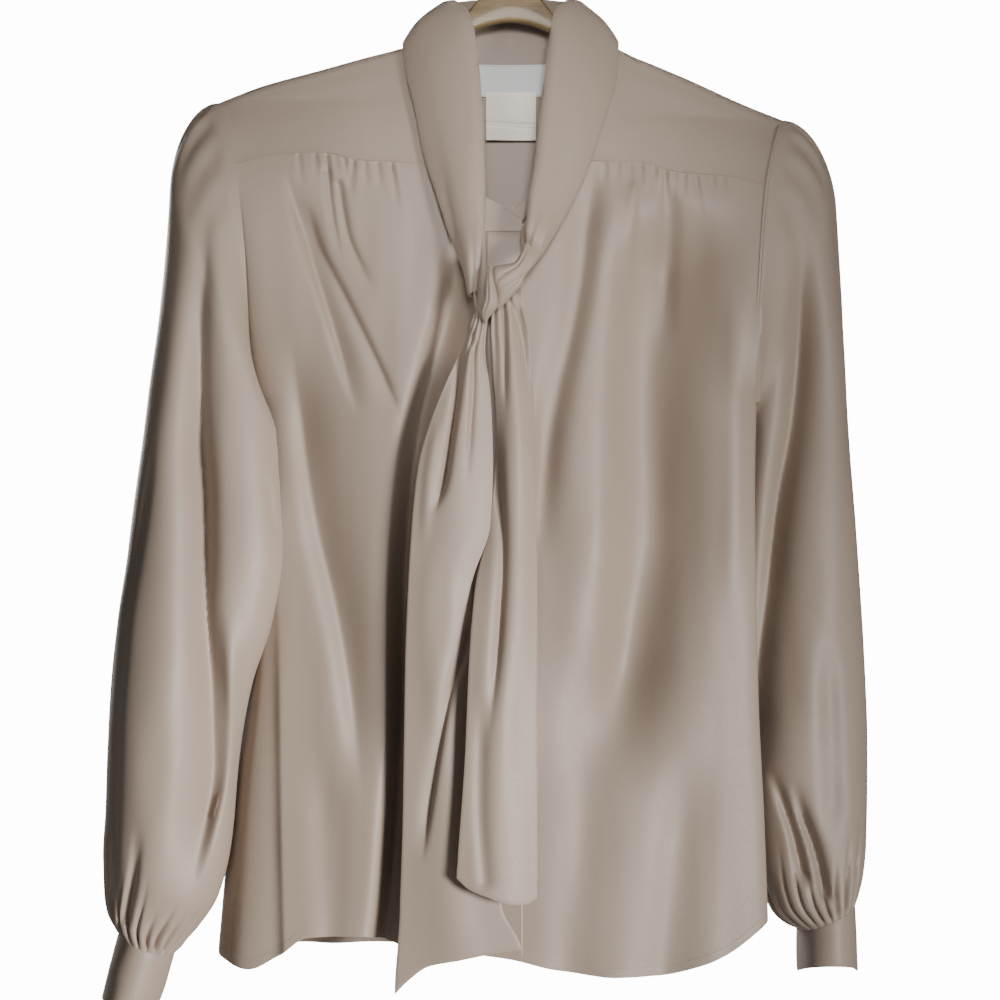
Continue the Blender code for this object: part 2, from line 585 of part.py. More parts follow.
def front(name, side, folds, gathers, seam_columns):
    seam = yoke_seam_points(side)
    order = np.argsort(seam[:, 0])
    neck_x, tip_x = seam[0, 0], seam[-1, 0]
    neck_columns = np.linspace(FRONT_MIDDLE_X, neck_x, NECK_EDGE_COLUMNS + 1)[:-1]
    top_x = np.concatenate([neck_columns, seam_columns(neck_x, tip_x)])
    on_seam = np.abs(top_x) >= abs(neck_x) - 1e-6
    top_z = np.where(on_seam, np.interp(top_x, seam[order, 0], seam[order, 2]),
                     np.minimum(neckline_z(top_x), seam[0, 2]))
    steps = np.arange(FIRST_ARMHOLE_STEP, AROUND // 2 + 1)
    edge_z = np.concatenate([[top_z[-1]], armhole_level(side, steps), LOWER_LEVELS])
    hem_z = float(read(HEM_FRONT, "z", "x", side * 1000.0))
    level = np.append((top_z[-1] - edge_z) / (top_z[-1] - hem_z), 1.0)
    cols = len(top_x)
    grid = np.zeros((len(level), cols, 3))
    share = (top_x - FRONT_MIDDLE_X) / (tip_x - FRONT_MIDDLE_X)
    for r, t in enumerate(level):
        z = top_z + (read(HEM_FRONT, "z", "x", top_x) - top_z) * t
        for _ in range(5):
            edge_x = edge_xy(side, z, -1)[0]
            x = FRONT_MIDDLE_X + (edge_x - FRONT_MIDDLE_X) * share
            z = top_z + (read(HEM_FRONT, "z", "x", x) - top_z) * t
            if r == 0:
                x, z = top_x, top_z
        grid[r] = np.stack([x, body_y(x, z, side, -1), z], axis=1)
    normal = surface_normals(grid, np.broadcast_to([0.0, -1.0, 0.0], grid.shape))
    normal[0] = without(normal[0], 2)
    normal[:, -1] = without(normal[:, -1], 0)
    below_underarm = grid[:, -1, 2] < UNDERARM_Z + 1
    normal[below_underarm, -1] = (side, 0.0, 0.0)
    x, z = grid[..., 0], grid[..., 2]
    room = ease((np.abs(edge_xy(side, z, -1)[0]) - np.abs(x)) / 14.0)
    push = fold_depth(folds, x, z) + gather_depth(gathers, x, z, top_z[None, :])
    under_placket = ease((np.abs(x - FRONT_MIDDLE_X) - 16.0) / 12.0)
    grid[..., 1] += push * room * under_placket
    grid[0, :, 2] -= np.where(on_seam, SEAM_GAP / 2, SEAM_GAP)
    grid[:, 0, 0] += side * SEAM_GAP / 2
    grid[~below_underarm, -1, 0] -= side * SEAM_GAP / 2
    grid[below_underarm, -1, 1] -= SEAM_GAP / 2
    grid[np.argmax(below_underarm), -1] -= (side * SEAM_GAP, 0.0, SEAM_GAP)
    return wall(name, grid, grid - normal * WALL, "cloth")


def seam_columns_right(neck_x, tip_x):
    return np.concatenate([np.linspace(neck_x, -83.0, 5), np.linspace(-88.5, -161.5, 16),
                           np.linspace(-168.0, tip_x, 5)])


def seam_columns_left(neck_x, tip_x):
    return np.concatenate([np.linspace(neck_x, 62.0, 4), np.linspace(67.0, 163.0, 19),
                           np.linspace(170.0, tip_x, 4)])


# Back

def back():
    columns = np.concatenate([-spread(0.0, 1.0, 12, 1.6)[::-1], spread(0.0, 1.0, 12, 1.6)[1:]])
    armhole_steps = np.arange(BACK_YOKE_STEP, AROUND // 2 + 1)
    rows = len(armhole_steps) + len(LOWER_LEVELS) + 1
    grid = np.zeros((rows, len(columns), 3))
    for r in range(rows):
        for c, share in enumerate(columns):
            side = -1 if share < 0 else 1
            x = share * 200.0
            for _ in range(5):
                if r < len(armhole_steps):
                    z = float(back_level(x, armhole_steps[r]))
                elif r < rows - 1:
                    z = LOWER_LEVELS[r - len(armhole_steps)]
                else:
                    z = float(read(HEM_BACK, "z", "x", x))
                x = abs(share) * float(edge_xy(side, z, 1)[0])
            grid[r, c] = x, float(body_y(x, z, side, 1)), z
    for column, side in ((0, -1), (-1, 1)):
        for r, step in enumerate(armhole_steps):
            z = float(armhole_level(side, step))
            edge_x, edge_y = edge_xy(side, z, 1)
            grid[r, column] = edge_x, edge_y, z
    normal = surface_normals(grid, np.broadcast_to([0.0, 1.0, 0.0], grid.shape))
    normal[0] = without(normal[0], 2)
    normal[:, [0, -1]] = without(normal[:, [0, -1]], 0)
    x, z = grid[..., 0].copy(), grid[..., 2].copy()
    for column, side in ((0, -1), (-1, 1)):
        below = grid[:, column, 2] < UNDERARM_Z + 1
        normal[below, column] = (side, 0.0, 0.0)
        grid[below, column, 1] += SEAM_GAP / 2
        grid[~below, column, 0] -= side * SEAM_GAP / 2
        grid[np.argmax(below), column] -= (side * SEAM_GAP, 0.0, SEAM_GAP)
    edge = np.where(x < 0, np.abs(edge_xy(-1, z, 1)[0]), np.abs(edge_xy(1, z, 1)[0]))
    room = ease((edge - np.abs(x)) / 20.0) * ease((back_yoke_z(x) - z) / 40.0)
    grid[..., 1] -= fold_depth(FOLDS_BACK, x, z) * room
    grid[0, :, 2] -= SEAM_GAP / 2
    return wall("back", grid, grid - normal * WALL, "cloth")


# Sleeves and cuffs

SLEEVE_CAP_ROWS = (0.0, 0.035, 0.10, 0.20, 0.36, 0.56, 0.78, 1.0)
SLEEVE_LEVELS = (0.12, 0.25, 0.38, 0.51, 0.64, 0.76, 0.86, 0.94, 1.0)


def ring_point(rows, angle, z):
    """A point of a sleeve's ring: angle 0 is the outer side, a quarter turn is the front."""
    outer, inner = read(rows, "outer", "z", z), read(rows, "inner", "z", z)
    front_y, back_y = read(rows, "front", "z", z), read(rows, "back", "z", z)
    x = (outer + inner) / 2 + (outer - inner) / 2 * np.cos(angle)
    y = (front_y + back_y) / 2 - (back_y - front_y) / 2 * np.sin(angle)
    return x, y


def beside_body(grid, side, loop_z, lap):
    """Keeps a sleeve's points out of the body: on its lap side (-1 in front, 1 behind) the sleeve may
    lie over the body, and on the other side it stays beside it."""
    x, y, z = side * grid[..., 0], grid[..., 1].copy(), grid[..., 2]
    leave = loop_z[None, :] - z
    started = leave > 0.1
    room = BODY_ROOM + EDGE_ROOM * ease(leave / 12.0)
    edge_x, edge_y = edge_xy(side, z, 1)
    edge_x = np.abs(edge_x)
    middle = read(edge_of(side), "y", "z", z)
    off = lap * (y - middle)
    beside = started & (off < 0)
    x = np.where(beside, np.maximum(x, edge_x + room), x)
    over_edge = (x < edge_x + room) & (off > 0.5 * (edge_y - middle))
    on_panel = started & (z > UNDERARM_Z + LAP_ENDS_ABOVE) & over_edge
    panel_y = body_y(side * np.minimum(x, edge_x), z, side, lap) + lap * room
    y = np.where(on_panel, lap * np.maximum(lap * y, lap * panel_y), y)
    low = started & ~on_panel & ~beside & (z < UNDERARM_Z + SIDE_STARTS_ABOVE)
    anchor = edge_x - SIDE_ANCHOR
    for _ in range(SIDE_STEPS):
        inside = low & (x < body_side_x(side, y, z, room))
        x = np.where(inside, anchor + (x - anchor) * SIDE_GROWTH, x)
        y = np.where(inside, middle + (y - middle) * SIDE_GROWTH, y)
    return np.stack([side * x, y, z], axis=2)


def sleeve(name, side, lap, rows, folds_front, folds_back, cuff):
    angle = np.arange(AROUND) * 2 * math.pi / AROUND
    tip = edge_of(side)["z"][0]
    middle, half = (tip + UNDERARM_Z) / 2, (tip - UNDERARM_Z) / 2
    loop_z = middle + half * np.cos(angle)
    loop_x, _ = edge_xy(side, loop_z, 1)
    loop_y = read(edge_of(side), "y", "z", loop_z)
    loop_y = loop_y - np.sign(np.sin(angle)) * armhole_half(np.minimum(angle, 2 * math.pi - angle))
    end_z = rows["z"][-1]
    grid = []
    for share in SLEEVE_CAP_ROWS:
        z = loop_z + (CAP_END_Z - loop_z) * share
        length = CAP_ROUND * (0.45 + 0.55 * (1 + np.cos(angle)) / 2)
        rounding = np.sqrt(1 - (1 - np.clip((loop_z - z) / length, 0.0, 1.0)) ** 2)
        x, y = ring_point(rows, angle, z)
        x = loop_x + (x - loop_x) * rounding
        y = loop_y + (y - loop_y) * rounding
        grid.append(np.stack([x, y, z], axis=1))
    for share in SLEEVE_LEVELS:
        z = np.full(AROUND, CAP_END_Z + (end_z - CAP_END_Z) * share)
        x, y = ring_point(rows, angle, z)
        centre_x = (rows["outer"][-1] + rows["inner"][-1]) / 2
        z = z + cuff["tilt_top"] * (x - centre_x) * ease((share - 0.45) / 0.55)
        grid.append(np.stack([x, y, z], axis=1))
    grid = np.array(grid)
    grid = beside_body(grid, side, loop_z, lap)
    centre = grid.mean(axis=1, keepdims=True)
    outward = (grid - centre) * np.array([1.0, 1.0, 0.0]) + np.array([0.0, 0.0, 1e-3])
    outward[0] = np.stack([0 * angle, loop_y - loop_y.mean(), loop_z - loop_z.mean()], axis=1)
    normal = surface_normals(grid, outward, ring=True)
    radial = outward[0] / np.linalg.norm(outward[0], axis=1, keepdims=True)
    normal[0] = radial
    normal[-1] = without(normal[-1], 2)
    x, z = grid[..., 0], grid[..., 2]
    facing = np.sin(angle)[None, :]
    started = ease((loop_z[None, :] - z) / 40.0)
    ended = ease((z - end_z) / 30.0)
    grid[..., 1] += fold_depth(folds_front, x, z) * np.sqrt(np.clip(facing, 0.0, 1.0)) * started * ended
    grid[..., 1] -= fold_depth(folds_back, x, z) * np.sqrt(np.clip(-facing, 0.0, 1.0)) * started * ended
    cap_wave = 0.5 - 0.5 * np.cos(CAP_GATHERS * 2 * angle)
    below_seam = loop_z[None, :] - z
    cap_reach = np.clip(np.cos(angle), 0.0, 1.0)[None, :] * np.exp(-((below_seam - 10.0) / 22.0) ** 2)
    cuff_wave = 0.5 - 0.5 * np.cos(CUFF_GATHERS * angle)
    cuff_reach = ease((end_z + 75 - z) / 60.0)
    grid -= normal * (CAP_GATHER_DEPTH * cap_wave[None, :] * cap_reach)[..., None]
    grid -= normal * (CUFF_GATHER_DEPTH * (cuff_wave[None, :] - 0.5) * cuff_reach * ended)[..., None]
    grid[0, :, 0] += side * SEAM_GAP / 2
    grid[-1, :, 2] += SEAM_GAP / 2
    return wall(name, grid, grid - normal * WALL, "cloth", ring=True)


def cuff_grid(rows, cuff, around):
    """Three rings of a cuff, from its seam with the sleeve to its edge."""
    angle = np.arange(around) * 2 * math.pi / around
    end_z = rows["z"][-1]
    x, y = ring_point(rows, angle, np.full(around, end_z))
    centre_x = (rows["outer"][-1] + rows["inner"][-1]) / 2
    centre_y = (rows["front"][-1] + rows["back"][-1]) / 2
    rings = []
    for share in (0.0, 0.5, 1.0):
        tilt = cuff["tilt_top"] + (cuff["tilt_bottom"] - cuff["tilt_top"]) * share
        level = end_z - CUFF_HEIGHT * share + tilt * (x - centre_x)
        size = 1.0 + 0.05 * share
        rings.append(np.stack([centre_x + (x - centre_x) * size + cuff["shift"] * share,
                               centre_y + (y - centre_y) * size, level], axis=1))
    return np.array(rings), np.array([centre_x, centre_y, 0.0])


def cuff(name, rows, shape):
    grid, centre = cuff_grid(rows, shape, AROUND)
    outward = (grid - centre) * np.array([1.0, 1.0, 0.0])
    normal = without(surface_normals(grid, outward, ring=True), 2)
    grid[0, :, 2] -= SEAM_GAP / 2
    return wall(name, grid, grid - normal * WALL, "cloth", ring=True)


# Collar, knot and tie ends

COLLAR_STEPS = 2           # stations between two rows of a collar table
ROLL_RADIUS = 2.6


def collar_station(rows, row, share):
    """The section of the rolled collar at a place between two rows of its table."""
    at = row + share
    index = np.arange(len(rows["nx"]))
    points = [np.array([float(smooth(index, rows[key + axis], at)) for axis in "xyz"]) for key in "nre"]
    return (*points, float(smooth(index, rows["bow"], at)))


def collar_stations(rows):
    last = len(rows["nx"]) - 1
    parts = [k / COLLAR_STEPS for k in range(COLLAR_STEPS)]
    stations = [collar_station(rows, row, part) for row in range(last) for part in parts]
    return stations + [collar_station(rows, last, 0.0)]


def collar_middle(sewn, roll, edge, bow, along):
    """Middle line of the section: up the stand, round the roll and down the fall."""
    fall, stand = edge - roll, sewn - roll
    out = np.cross(along, fall)
    out /= max(np.linalg.norm(out), 1e-9)
    if out @ (np.cross(along, stand)) > 0 and np.cross(fall, stand) @ along > 0:
        out = -out
    side = 1.0 if out @ (edge - sewn) > 0 else -1.0
    out = out * side
    points = [sewn, roll + stand * 0.55 - out * 0.8, roll + stand * 0.16 - out * 1.2]
    points.append(roll + (-fall / np.linalg.norm(fall)) * 0.6)
    for t in (0.10, 0.30, 0.55, 0.80, 1.0):
        points.append(roll + fall * t + out * (bow * 4 * t * (1 - t) + ROLL_RADIUS * min(1.0, (1 - t) * 2)))
    return np.array(points)


def collar():
    right, left = collar_stations(COLLAR_RIGHT), collar_stations(COLLAR_LEFT)
    stations = right[::-1] + left[1:]
    rolls = np.array([s[1] for s in stations])
    along = np.gradient(rolls, axis=0)
    along /= np.linalg.norm(along, axis=1, keepdims=True)
    middle = np.array([collar_middle(*s, a) for s, a in zip(stations, along)])
    step = np.gradient(middle, axis=1)
    normal = np.cross(step, np.broadcast_to(along[:, None, :], middle.shape))
    normal /= np.linalg.norm(normal, axis=2, keepdims=True)
    return wall("collar", middle + normal * BAND_WALL / 2, middle - normal * BAND_WALL / 2, "cloth")


def tail(name, rows, end_rows, folds, columns=9, levels=17):
    """A hanging tie end. Its section is a shallow curve whose left edge turns back."""
    top, low = rows["z"][0], rows["z"][-1]
    across = np.linspace(0.0, 1.0, columns)
    grid = np.zeros((levels, columns, 3))
    for r, t in enumerate(np.linspace(0.0, 1.0, levels)):
        for c, share in enumerate(across):
            end_x = end_rows["x"][0] + (end_rows["x"][-1] - end_rows["x"][0]) * share
            end_z = float(read(end_rows, "z", "x", end_x))
            z = top + (end_z - top) * t
            left = float(read(rows, "left", "z", z))
            right = float(read(rows, "right", "z", z))
            lower = ease((low - z) / max(low - end_z, 1.0)) if z < low else 0.0
            x = left + (right - left) * share
            x = x + (end_x - x) * lower
            y = float(read(rows, "y", "z", z)) + float(read(rows, "turn", "z", z)) * (1 - share) ** 2
            y += 2.5 * math.cos(share * math.pi * 2) * min(1.0, (top - z) / 60.0)
            grid[r, c] = x, y, z
    grid[..., 1] += fold_depth(folds, grid[..., 0], grid[..., 2])
    normal = surface_normals(grid, np.broadcast_to([0.0, -1.0, 0.0], grid.shape))
    return wall(name, grid + normal * BAND_WALL / 2, grid - normal * BAND_WALL / 2, "cloth")


def knot():
    """The tied knot: rings round a slanting middle line, pinched at both ends."""
    steps, around = 13, 16
    index = np.arange(len(KNOT["x"]))
    at = np.linspace(0, len(index) - 1, steps)
    middle = np.stack([smooth(index, KNOT[axis], at) for axis in "xyz"], axis=1)
    wide, deep = smooth(index, KNOT["wide"], at), smooth(index, KNOT["deep"], at)
    along = np.gradient(middle, axis=0)
    along /= np.linalg.norm(along, axis=1, keepdims=True)
    front_way = np.array([0.0, -1.0, 0.0])
    verts, faces = [], []
    for r in range(steps):
        aside = np.cross(along[r], front_way)
        aside /= np.linalg.norm(aside)
        for c in range(around):
            turn = 2 * math.pi * c / around
            groove = 1 - 0.10 * math.exp(-((turn - 1.4 - 0.06 * r) / 0.35) ** 2)
            out = aside * wide[r] * math.cos(turn) + front_way * deep[r] * math.sin(turn)
            verts.append(middle[r] + out * groove)
    for r in range(steps - 1):
        for c in range(around):
            a, b = r * around + c, r * around + (c + 1) % around
            faces.append([a, b, b + around, a + around])
    faces.append(list(range(around))[::-1])
    faces.append([(steps - 1) * around + c for c in range(around)])
    points = np.array(verts)
    obj = new_object("knot", points, faces, "cloth")
    return face_outward(obj)


def face_outward(obj):
    """Turns a closed mesh right side out."""
    mesh = obj.data
    mesh.calc_loop_triangles()
    corners = [[mesh.vertices[i].co for i in triangle.vertices] for triangle in mesh.loop_triangles]
    volume = sum(a.dot(b.cross(c)) for a, b, c in corners)
    if volume < 0:
        mesh.flip_normals()
    return obj


# Front closing: the band over the centre front, the neck tabs and the buttons

BAND_LEFT_X, BAND_RIGHT_X = -17.5, 9.5
BAND_TOP_Z, BAND_LOW_Z = -263.0, -799.0
BAND_ROOM = 0.6            # space between the band and the fronts it lies on
BUTTON_LEVELS = (-352.0, -442.0, -532.0, -622.0, -712.0)


def front_band():
    columns = np.linspace(BAND_LEFT_X, BAND_RIGHT_X, 5)
    levels = np.linspace(BAND_TOP_Z, BAND_LOW_Z, 13)
    x, z = np.meshgrid(columns, levels)
    y = np.minimum(body_y(x, z, -1, -1), body_y(x, z, 1, -1))
    inner = np.stack([x, y - BAND_ROOM, z], axis=2)
    return wall("front_band", inner - np.array([0.0, WALL, 0.0]), inner, "cloth")


TAB_ROOM = 1.6             # space between a neck tab and the neckline below it
TAB_LEAST_HEIGHT = 3.0
TAB_LEAN = 2.0             # a tab's top stands this much further back than its foot
NECK_TABS = (
    dict(name="neck_tab_right", start_x=-30.0, end_x=9.0, start_top=-230.0, end_top=-252.0, lift=0.5),
    dict(name="neck_tab_left", start_x=2.0, end_x=30.0, start_top=-243.0, end_top=-229.0, lift=4.0),
)


def neck_tab(name, start_x, end_x, start_top, end_top, lift):
    """A short stand above the neckline at the centre front."""
    share = np.linspace(0.0, 1.0, 6)
    columns = start_x + (end_x - start_x) * share
    low = neckline_z(columns) + SEAM_GAP + TAB_ROOM
    high = np.maximum(start_top + (end_top - start_top) * share, low + TAB_LEAST_HEIGHT)
    front_y = float(body_y(0.0, NECK_FRONT_Z, 1, -1))
    rows = []
    for t in (0.0, 0.5, 1.0):
        y = np.full(len(columns), front_y + lift + TAB_LEAN * t)
        rows.append(np.stack([columns, y, low + (high - low) * t], axis=1))
    grid = np.array(rows)
    return wall(name, grid, grid + np.array([0.0, WALL, 0.0]), "cloth")


def disc(name, centre, axis_y):
    """A small flat button with a dished rim, its face towards axis_y."""
    profile = ((0.0, 0.6), (0.65, 0.6), (0.8, 1.0), (1.0, 0.7), (1.0, 0.0), (0.0, 0.0))
    radius, thick, around = BUTTON_RADIUS, BUTTON_THICK, 12
    verts, faces, rings = [], [], []
    for share, height in profile:
        if share == 0.0:
            rings.append([len(verts)])
            verts.append((0.0, axis_y * height * thick, 0.0))
            continue
        rings.append(list(range(len(verts), len(verts) + around)))
        verts += [(share * radius * math.cos(a), axis_y * height * thick, share * radius * math.sin(a))
                  for a in (2 * math.pi * k / around for k in range(around))]
    for upper, lower in zip(rings, rings[1:]):
        for k in range(around):
            n = (k + 1) % around
            quad = [upper[k % len(upper)], upper[n % len(upper)]]
            quad += [lower[n % len(lower)], lower[k % len(lower)]]
            faces.append(list(dict.fromkeys(quad)))
    points = np.array(verts) + np.array(centre)
    return face_outward(new_object(name, points, faces, "button"))


def buttons():
    middle = (BAND_LEFT_X + BAND_RIGHT_X) / 2
    for number, z in enumerate(BUTTON_LEVELS, 1):
        y = float(min(body_y(middle, z, -1, -1), body_y(middle, z, 1, -1)))
        disc(f"button_{number}", (middle, y - BAND_ROOM - WALL - BUTTON_ROOM, z), -1)
    for name, rows, shape in (("right", SLEEVE_RIGHT, CUFF_RIGHT), ("left", SLEEVE_LEFT, CUFF_LEFT)):
        ring = cuff_grid(rows, shape, AROUND)[0][1]
        place = ring[AROUND * 3 // 4]
        disc(f"cuff_button_{name}", (place[0], ring[:, 1].max() + BUTTON_ROOM, place[2]), 1)


# Labels inside the back neck

NECK_LABEL = dict(left=-30.0, right=32.0, top=-129.4, low=-154.0, room=0.8)
CARE_LABEL = dict(left=-18.0, right=20.0, top=-151.0, low=-188.0, room=2.5, lean=4.0, ripple=1.2)
LABEL_THICK = 1.0


def neck_label():
    label = NECK_LABEL
    columns = np.linspace(label["left"], label["right"], 9)
    x, z = np.meshgrid(columns, np.linspace(label["top"], label["low"], 3))
    outer = np.stack([x, body_y(x, z, 1, 1) - WALL - label["room"], z], axis=2)
    return wall("neck_label", outer - np.array([0.0, LABEL_THICK, 0.0]), outer, "label")


def care_label():
    """It is sewn in along its top, so it leans away from the back towards its foot."""
    label = CARE_LABEL
    columns = np.linspace(label["left"], label["right"], 6)
    x, z = np.meshgrid(columns, np.linspace(label["top"], label["low"], 7))
    down = (label["top"] - z) / (label["top"] - label["low"])
    y = body_y(x, np.full_like(z, label["top"]), 1, 1) - WALL - label["room"]
    y += -label["lean"] * down ** 1.3 + label["ripple"] * np.sin(x / 9.0) * down
    outer = np.stack([x, y, z], axis=2)
    return wall("care_label", outer - np.array([0.0, LABEL_THICK, 0.0]), outer, "satin")


# Hanger

def bar_levels(x):
    """Top and bottom of the wood at a place along the hanger."""
    if abs(x) < NECK_HALF:
        return float(read(BAR_HUMP, "top", "x", x)), float(read(BAR_HUMP, "low", "x", x))
    top = float(ridge_z(x)) - WALL - BAR_SEAT
    return top, top - float(read(BAR_HEIGHT, "height", "x", x))


def hanger_bar():
    """A flat wooden bar with a rounded top edge, its hump carrying the hook."""
    stations = np.concatenate([np.linspace(BAR_TIPS[0], -NECK_HALF, 9), np.linspace(-58, 58, 11),
                               np.linspace(NECK_HALF, BAR_TIPS[1], 8)])
    section = [(math.cos(a), math.sin(a)) for a in np.linspace(0, math.pi, 6)]
    verts, faces = [], []
    around = 2 * len(section)
    for x in stations:
        top, low = bar_levels(x)
        half = min(BAR_HALF_THICK, (top - low) / 2 - 0.2)
        verts += [(x, half * c, top - half + half * s) for c, s in section]
        verts += [(x, -half * c, low + half - half * s) for c, s in section]
    for r in range(len(stations) - 1):
        for c in range(around):
            a, b = r * around + c, r * around + (c + 1) % around
            faces.append([a, b, b + around, a + around])
    faces.append(list(range(around))[::-1])
    faces.append([(len(stations) - 1) * around + c for c in range(around)])
    bar = face_outward(new_object("hanger_bar", np.array(verts, float), faces, "wood"))
    return bar


def hook_line():
    """Middle of the hook's wire: up the stem, round the loop and down to its open tip."""
    middle_z = -HOOK_RADIUS + HOOK_WIRE
    points = [(0.0, 0.0, z) for z in (HOOK_FOOT_Z, -70.0, -58.0)]
    points += [(-3.0, 0.0, -50.0), (0.5, 0.0, -44.0)]
    start, end = math.radians(-88), math.radians(196)
    for k in range(19):
        a = start + (end - start) * k / 18
        points.append((HOOK_RADIUS * math.cos(a), 0.0, middle_z + HOOK_RADIUS * math.sin(a)))
    return points


def hanger_hook():
    curve = bpy.data.curves.new("hanger_hook", "CURVE")
    curve.dimensions = "3D"
    curve.bevel_depth = HOOK_WIRE / 1000.0
    curve.bevel_resolution = 2
    curve.use_fill_caps = True
    line = curve.splines.new("POLY")
    points = hook_line()
    line.points.add(len(points) - 1)
    for point, place in zip(line.points, points):
        point.co = (place[0] / 1000.0, place[1] / 1000.0, place[2] / 1000.0, 1.0)
    obj = bpy.data.objects.new("hanger_hook", curve)
    bpy.context.scene.collection.objects.link(obj)
    curve.materials.append(material_named("steel"))
    return obj


SOCKET_ROOM = 0.3          # the stem's hole in the wood is this much wider than the wire
SOCKET_TOP_Z = -60.0


def socket_in_bar(bar):
    """Drills the hole that the hook's stem stands in, a little wider than the wire."""
    mesh = bpy.data.meshes.new("hook_socket")
    radius, low, around = HOOK_WIRE + SOCKET_ROOM, HOOK_FOOT_Z - SOCKET_ROOM, 12
    turns = [2 * math.pi * k / around for k in range(around)]
    verts = [(radius * math.cos(a) / 1000, radius * math.sin(a) / 1000, z / 1000)
             for z in (low, SOCKET_TOP_Z) for a in turns]
    faces = [list(range(around))[::-1], list(range(around, 2 * around))]
    faces += [[k, (k + 1) % around, (k + 1) % around + around, k + around] for k in range(around)]
    mesh.from_pydata(verts, [], faces)
    cutter = bpy.data.objects.new("hook_socket", mesh)
    bpy.context.scene.collection.objects.link(cutter)
    cutter.hide_render = True
    cutter.display_type = "WIRE"
    cut = bar.modifiers.new("socket", "BOOLEAN")
    cut.operation = "DIFFERENCE"
    cut.object = cutter


def main():
    for obj in list(bpy.data.objects):
        bpy.data.objects.remove(obj)
    yoke()
    front("front_right", -1, FOLDS_RIGHT, GATHERS_RIGHT, seam_columns_right)
    front("front_left", 1, FOLDS_LEFT, GATHERS_LEFT, seam_columns_left)
    back()
    sleeve("sleeve_right", -1, -1, SLEEVE_RIGHT, SLEEVE_FOLDS_RIGHT, SLEEVE_FOLDS_BACK_RIGHT, CUFF_RIGHT)
    sleeve("sleeve_left", 1, 1, SLEEVE_LEFT, SLEEVE_FOLDS_LEFT, SLEEVE_FOLDS_BACK_LEFT, CUFF_LEFT)
    cuff("cuff_right", SLEEVE_RIGHT, CUFF_RIGHT)
    cuff("cuff_left", SLEEVE_LEFT, CUFF_LEFT)
    collar()
    knot()
    tail("tie_end_right", TAIL_RIGHT, TAIL_RIGHT_END, TAIL_FOLDS_RIGHT)
    tail("tie_end_left", TAIL_LEFT, TAIL_LEFT_END, TAIL_FOLDS_LEFT)
    front_band()
    for tab in NECK_TABS:
        neck_tab(**tab)
    buttons()
    neck_label()
    care_label()
    bar = hanger_bar()
    hanger_hook()
    socket_in_bar(bar)


main()
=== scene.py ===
import math
import bpy
import numpy as np
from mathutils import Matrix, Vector


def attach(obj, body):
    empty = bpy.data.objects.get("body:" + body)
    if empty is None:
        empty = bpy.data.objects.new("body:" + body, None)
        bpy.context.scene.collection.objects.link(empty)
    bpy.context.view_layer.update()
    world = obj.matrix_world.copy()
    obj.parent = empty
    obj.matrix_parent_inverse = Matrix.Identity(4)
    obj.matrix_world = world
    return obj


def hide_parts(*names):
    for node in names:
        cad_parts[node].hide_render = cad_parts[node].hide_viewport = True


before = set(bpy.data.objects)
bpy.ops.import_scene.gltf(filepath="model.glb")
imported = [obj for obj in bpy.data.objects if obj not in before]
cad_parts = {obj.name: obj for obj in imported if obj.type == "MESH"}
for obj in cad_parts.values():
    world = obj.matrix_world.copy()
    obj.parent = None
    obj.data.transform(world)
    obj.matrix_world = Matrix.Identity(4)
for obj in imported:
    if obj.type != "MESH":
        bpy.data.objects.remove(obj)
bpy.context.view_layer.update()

# Tie front blouse on a wooden hanger. Tables are in millimetres, meshes in metres.
# +Z is up, the front faces -Y, +X is the wearer's left, the rail touches the hook at the origin.


def table(columns, *rows):
    return {name: np.array([row[i] for row in rows], float) for i, name in enumerate(columns.split())}


